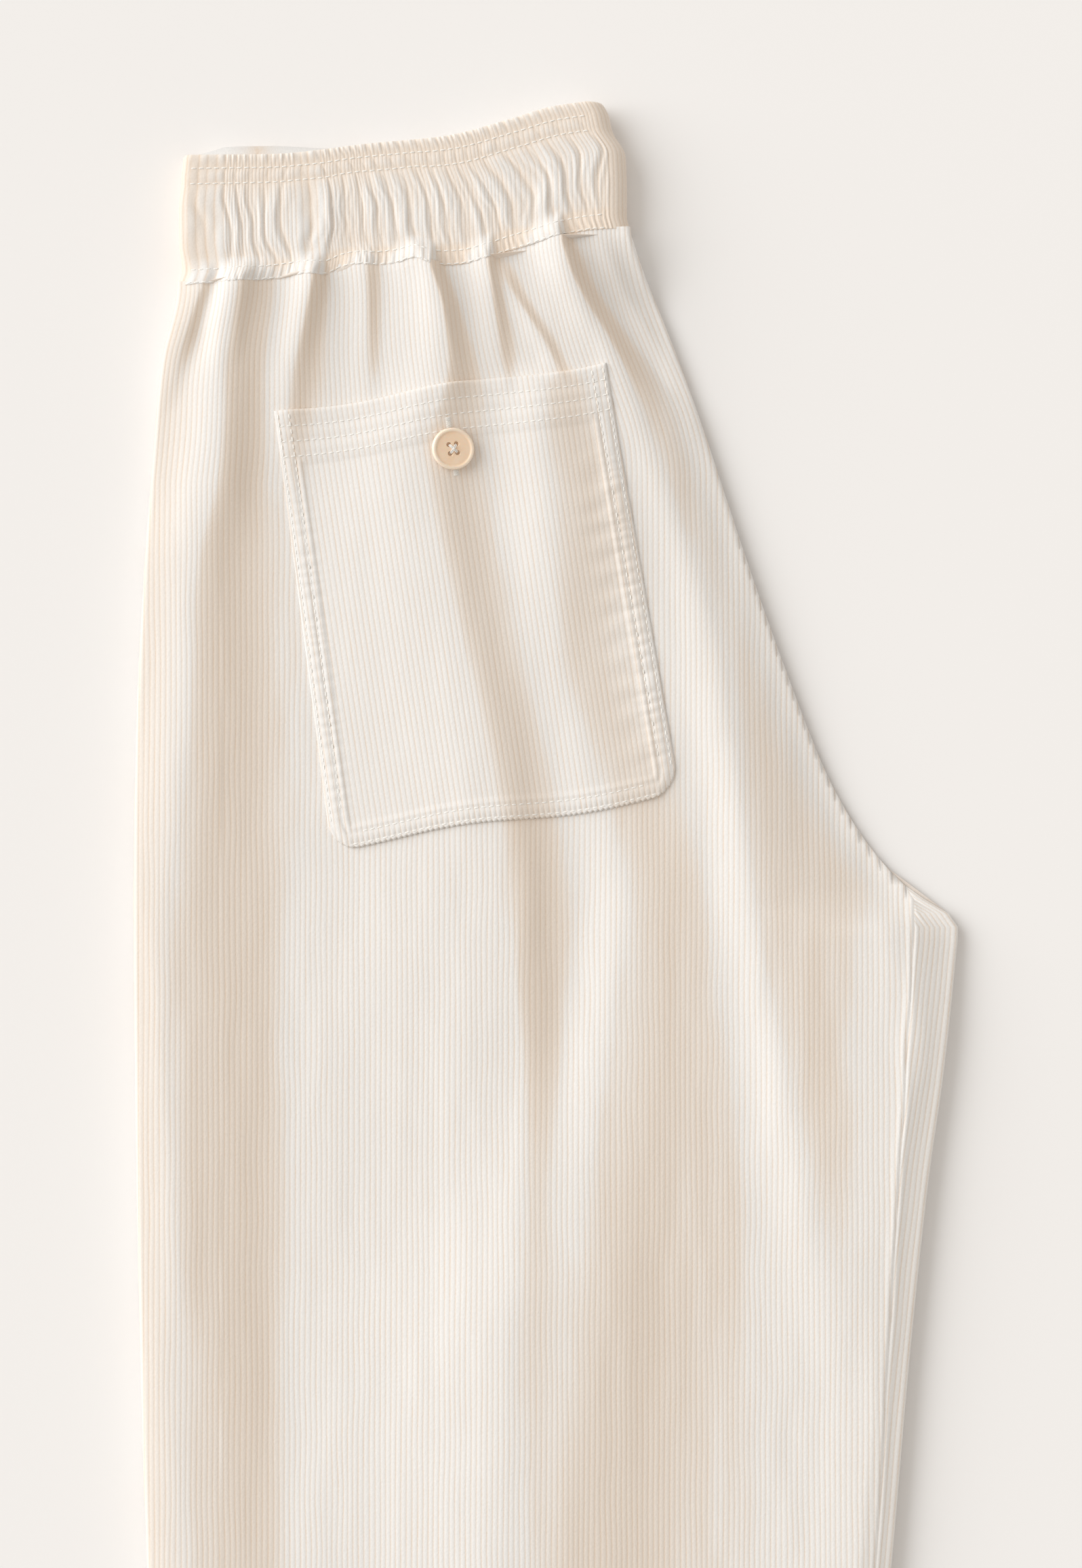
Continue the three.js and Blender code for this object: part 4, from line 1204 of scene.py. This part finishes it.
def thread_material(name, nap):
    """Sewing thread: pale, with a fine twist."""
    material, nodes, links, shader = new_material(name)
    nap_node = put_group(nodes, nap, Tuft_Scale=2600.0)
    shade = ranged(nodes, links, nap_node.outputs["Tufts"], 0.3, 0.7, 0.0, 1.0)
    tone = mix_colour(nodes, links, shade, toned(THREAD_TONE, THREAD_SHADE), THREAD_TONE)
    links.new(tone, shader.inputs["Base Color"])
    links.new(ranged(nodes, links, nap_node.outputs["Fibre"], 0, 1, 0.6, 0.8), shader.inputs["Roughness"])
    shader.inputs["Sheen Weight"].default_value = 0.2
    raise_surface(nodes, links, shader, nap_node.outputs["Fibre"], 0.3, 0.0002)
    return material


def horn_material(name):
    """Moulded button: peach, clouded, paler on the rim and deeper in the dish, with a soft gloss."""
    material, nodes, links, shader = new_material(name)
    place = nodes.new("ShaderNodeUVMap")
    place.uv_map = "cloth"
    split = nodes.new("ShaderNodeSeparateXYZ")
    links.new(place.outputs[0], split.inputs[0])
    rim = ranged(nodes, links, split.outputs[0], 0.8, 0.88, 0.0, 1.0)
    where = nodes.new("ShaderNodeTexCoord").outputs["Object"]
    cloud = ranged(nodes, links, noise(nodes, links, where, 260.0, 3.0, 0.6), 0.3, 0.7, 0.0, 1.0)
    dish = mix_colour(nodes, links, cloud, *DISH_TONES)
    edge = mix_colour(nodes, links, cloud, *RIM_TONES)
    links.new(mix_colour(nodes, links, rim, dish, edge), shader.inputs["Base Color"])
    links.new(ranged(nodes, links, cloud, 0, 1, 0.32, 0.45), shader.inputs["Roughness"])
    shader.inputs["Coat Weight"].default_value = 0.25
    shader.inputs["Coat Roughness"].default_value = 0.2
    shader.inputs["Subsurface Weight"].default_value = 0.1
    shader.inputs["Subsurface Radius"].default_value = (0.004, 0.002, 0.001)
    raise_surface(nodes, links, shader, cloud, 0.15, 0.0002)
    return material


def button(material):
    """The button laid on the pocket. Its map holds each point's distance from its middle line."""
    dx, dy, dz = button_shape()
    piece = Piece()
    index = piece.add_points(to_metres(*lay_on_pocket(dx, dy, dz)))
    index[0], index[-1] = index[0, 0], index[-1, 0]
    radius = closed(np.hypot(dx, dy) / BUTTON["radius"])
    spots = piece.add_spots(radius, np.zeros_like(radius))
    piece.add_faces(*grid_faces(closed(index), spots))
    return piece.finish("horn_button", material, ["button"])


def button_thread(material):
    """The thread that holds the button: two crossing stitches between its holes and a small knot."""
    half_across, half_along = HOLES["across"] / 2, HOLES["along"] / 2
    radius = STRAND["radius"]
    piece = Piece()
    along = np.linspace(-1, 1, 15)
    around = np.linspace(0, 2 * np.pi, 9)[:-1]
    dish = BUTTON["thickness"] - 0.55
    for sign, beside in ((1, -1), (1, 1), (-1, -1), (-1, 1)):
        way = np.array([half_across, sign * half_along])
        side = np.array([-way[1], way[0]]) / np.hypot(*way)
        centre = along[:, None] * way + beside * STRAND["aside"] * side
        lift = dish + 0.32 + 0.25 * (sign < 0) - 1.6 * np.abs(along) ** 6
        dx = centre[:, :1] + side[0] * radius * np.cos(around)
        dy = centre[:, 1:] + side[1] * radius * np.cos(around)
        dz = lift[:, None] + radius * np.sin(around)
        index = closed(piece.add_points(to_metres(*lay_on_pocket(dx, dy, dz))))
        spots = piece.add_spots(np.zeros(index.shape), 0)
        piece.add_faces(*grid_faces(index, spots))
        for ring in (index[0], index[-1][::-1]):
            fan = np.stack([np.full(6, ring[0]), ring[1:7], ring[2:8]], -1)
            piece.add_faces(fan, np.full(fan.shape, spots[0, 0]))
    tilts, turns = np.linspace(0.03, np.pi - 0.03, 9), np.linspace(0, 2 * np.pi, 13)
    knot, turn = np.meshgrid(tilts, turns, indexing="ij")
    size = KNOT_RADIUS * (1 + 0.12 * np.sin(5 * turn + 3 * knot))
    dx, dy = size * np.sin(knot) * np.cos(turn), size * np.sin(knot) * np.sin(turn)
    points = to_metres(*lay_on_pocket(dx, dy, dish + 0.75 + 0.7 * size * np.cos(knot)))
    index = piece.add_points(points[:, :-1])
    index[0], index[-1] = index[0, 0], index[-1, 0]
    index = closed(index)
    spots = piece.add_spots(np.zeros(index.shape), 0)
    piece.add_faces(*grid_faces(index, spots))
    return piece.finish("button_thread", material, ["button"])


def band_runs():
    """The waistband's stitch rows on the pass that shows."""
    runs = []
    u = np.linspace(0.0, 0.985, 400)
    for below in BAND_ROWS:
        x = mix(*band_ends(below), u)
        z = PASS_HEIGHTS[0] + CASING / 2 + band_puff(u, below) + BAND_STITCH_LIFT
        runs.append(np.stack([x, ring_down(u, x, 1, below), z], -1))
    return runs


def pocket_line(across, from_mouth, lift=STITCH_LIFT):
    """A line of places just above the pocket's cloth."""
    x, down, z = pocket_surface(across, np.broadcast_to(from_mouth, across.shape))
    return np.stack([x, down, z + lift], -1)


def pocket_runs():
    """Stitch rows on the pocket: three along the mouth's hem, and two round the sides and foot."""
    runs = []
    width = np.linspace(-1, 1, 260)
    for from_mouth in MOUTH_ROWS:
        runs.append(pocket_line(width * (pocket_reach(from_mouth) - 1), from_mouth))
    for inset in POCKET_ROWS:
        down_side = np.linspace(1.5, POCKET["height"] - inset - POCKET["corner"] * 0.8, 260)
        for side in (-1, 1):
            runs.append(pocket_line(side * (pocket_reach(down_side) - inset), down_side))
        across = width * (POCKET["foot"] / 2 - inset - POCKET["corner"] * 0.6)
        runs.append(pocket_line(across, POCKET["height"] - inset))
    return runs


def hem_runs():
    """The row of stitches that holds the hem's turning, on the back that shows."""
    down = LENGTH - HEM_TURNING
    x = np.linspace(side_edge(down) + 4, inner_edge(down) - 6, 400)
    down = np.full_like(x, down)
    return [np.stack([x, down, smooth_back(x, down) + STITCH_LIFT], -1)]


def buttonhole_runs():
    """The buttonhole's ends, which show past the button: short bars side by side across its slit."""
    middle, mouth = button_spot()
    across = middle + BUTTONHOLE["half_width"] * np.array([-1, 1])
    steps = np.arange(0, BUTTONHOLE["shown"], BUTTONHOLE["pitch"])
    return [
        pocket_line(across, mouth + side * (BUTTONHOLE["length"] / 2 - step), BAR_LIFT)
        for side in (-1, 1)
        for step in steps
    ]


rib_nodes, nap_nodes = rib_group(), nap_group()
corduroy = corduroy_material("cream corduroy", rib_nodes, nap_nodes)
thread = thread_material("cream thread", nap_nodes)
horn = horn_material("peach horn")

left_cloth = left_back(corduroy)
right_cloth = right_back(corduroy)
upper_front = front_leg("left_front_cloth", 1, corduroy)
lower_front = front_leg("right_front_cloth", -1, corduroy)
band_cloth = waistband(corduroy)
pocket_cloth = pocket(corduroy)
button(horn)
button_thread(thread)
stitches("waistband_stitches", band_runs(), thread, ["waistband"], **STITCH)
stitches("pocket_stitches", pocket_runs(), thread, ["back_pocket"], **STITCH)
stitches("hem_stitches", hem_runs(), thread, ["back_left"], **STITCH)
stitches("buttonhole_stitches", buttonhole_runs(), thread, ["back_pocket"], **BAR_STITCH)

# The paper under the trousers
half = PAPER["half"]
paper_corners = [(-half, -half, 0), (half, -half, 0), (half, half, 0), (-half, half, 0)]
floor_mesh = bpy.data.meshes.new("floor")
floor_mesh.from_pydata(paper_corners, [], [(0, 1, 2, 3)])
floor = bpy.data.objects.new("floor", floor_mesh)
bpy.context.collection.objects.link(floor)
floor.location.z = -PAPER["below"]
paper, _, _, paper_shader = new_material("pale paper")
paper_shader.inputs["Base Color"].default_value = PAPER["colour"]
paper_shader.inputs["Roughness"].default_value = PAPER["roughness"]
floor_mesh.materials.append(paper)

# The window's soft light, and the room's
light_data = bpy.data.lights.new("window", "SUN")
light_data.energy = WINDOW["energy"]
light_data.color = WINDOW["colour"]
light_data.angle = np.radians(WINDOW["spread"])
light = bpy.data.objects.new("window", light_data)
light.rotation_euler = (np.radians(WINDOW["turned"]), np.radians(-WINDOW["from_above"]), 0)
bpy.context.collection.objects.link(light)
world = bpy.data.worlds.new("room")
bpy.context.scene.world = world
world.use_nodes = True
background = world.node_tree.nodes["Background"]
background.inputs["Color"].default_value = SKY["colour"]
background.inputs["Strength"].default_value = SKY["strength"]
bpy.context.scene.view_settings.view_transform = "Standard"

# The camera, straight above the part of the trousers that the photo shows
camera_data = bpy.data.cameras.new("camera")
camera_data.lens = CAMERA["lens"]
camera_data.sensor_width = CAMERA["sensor"]
camera = bpy.data.objects.new("camera", camera_data)
spot = to_metres(CAMERA["x"], CAMERA["down"], CAMERA["z"])
camera.location = (spot[0], spot[1], spot[2] + CAMERA["away"])
bpy.context.collection.objects.link(camera)
bpy.context.scene.camera = camera
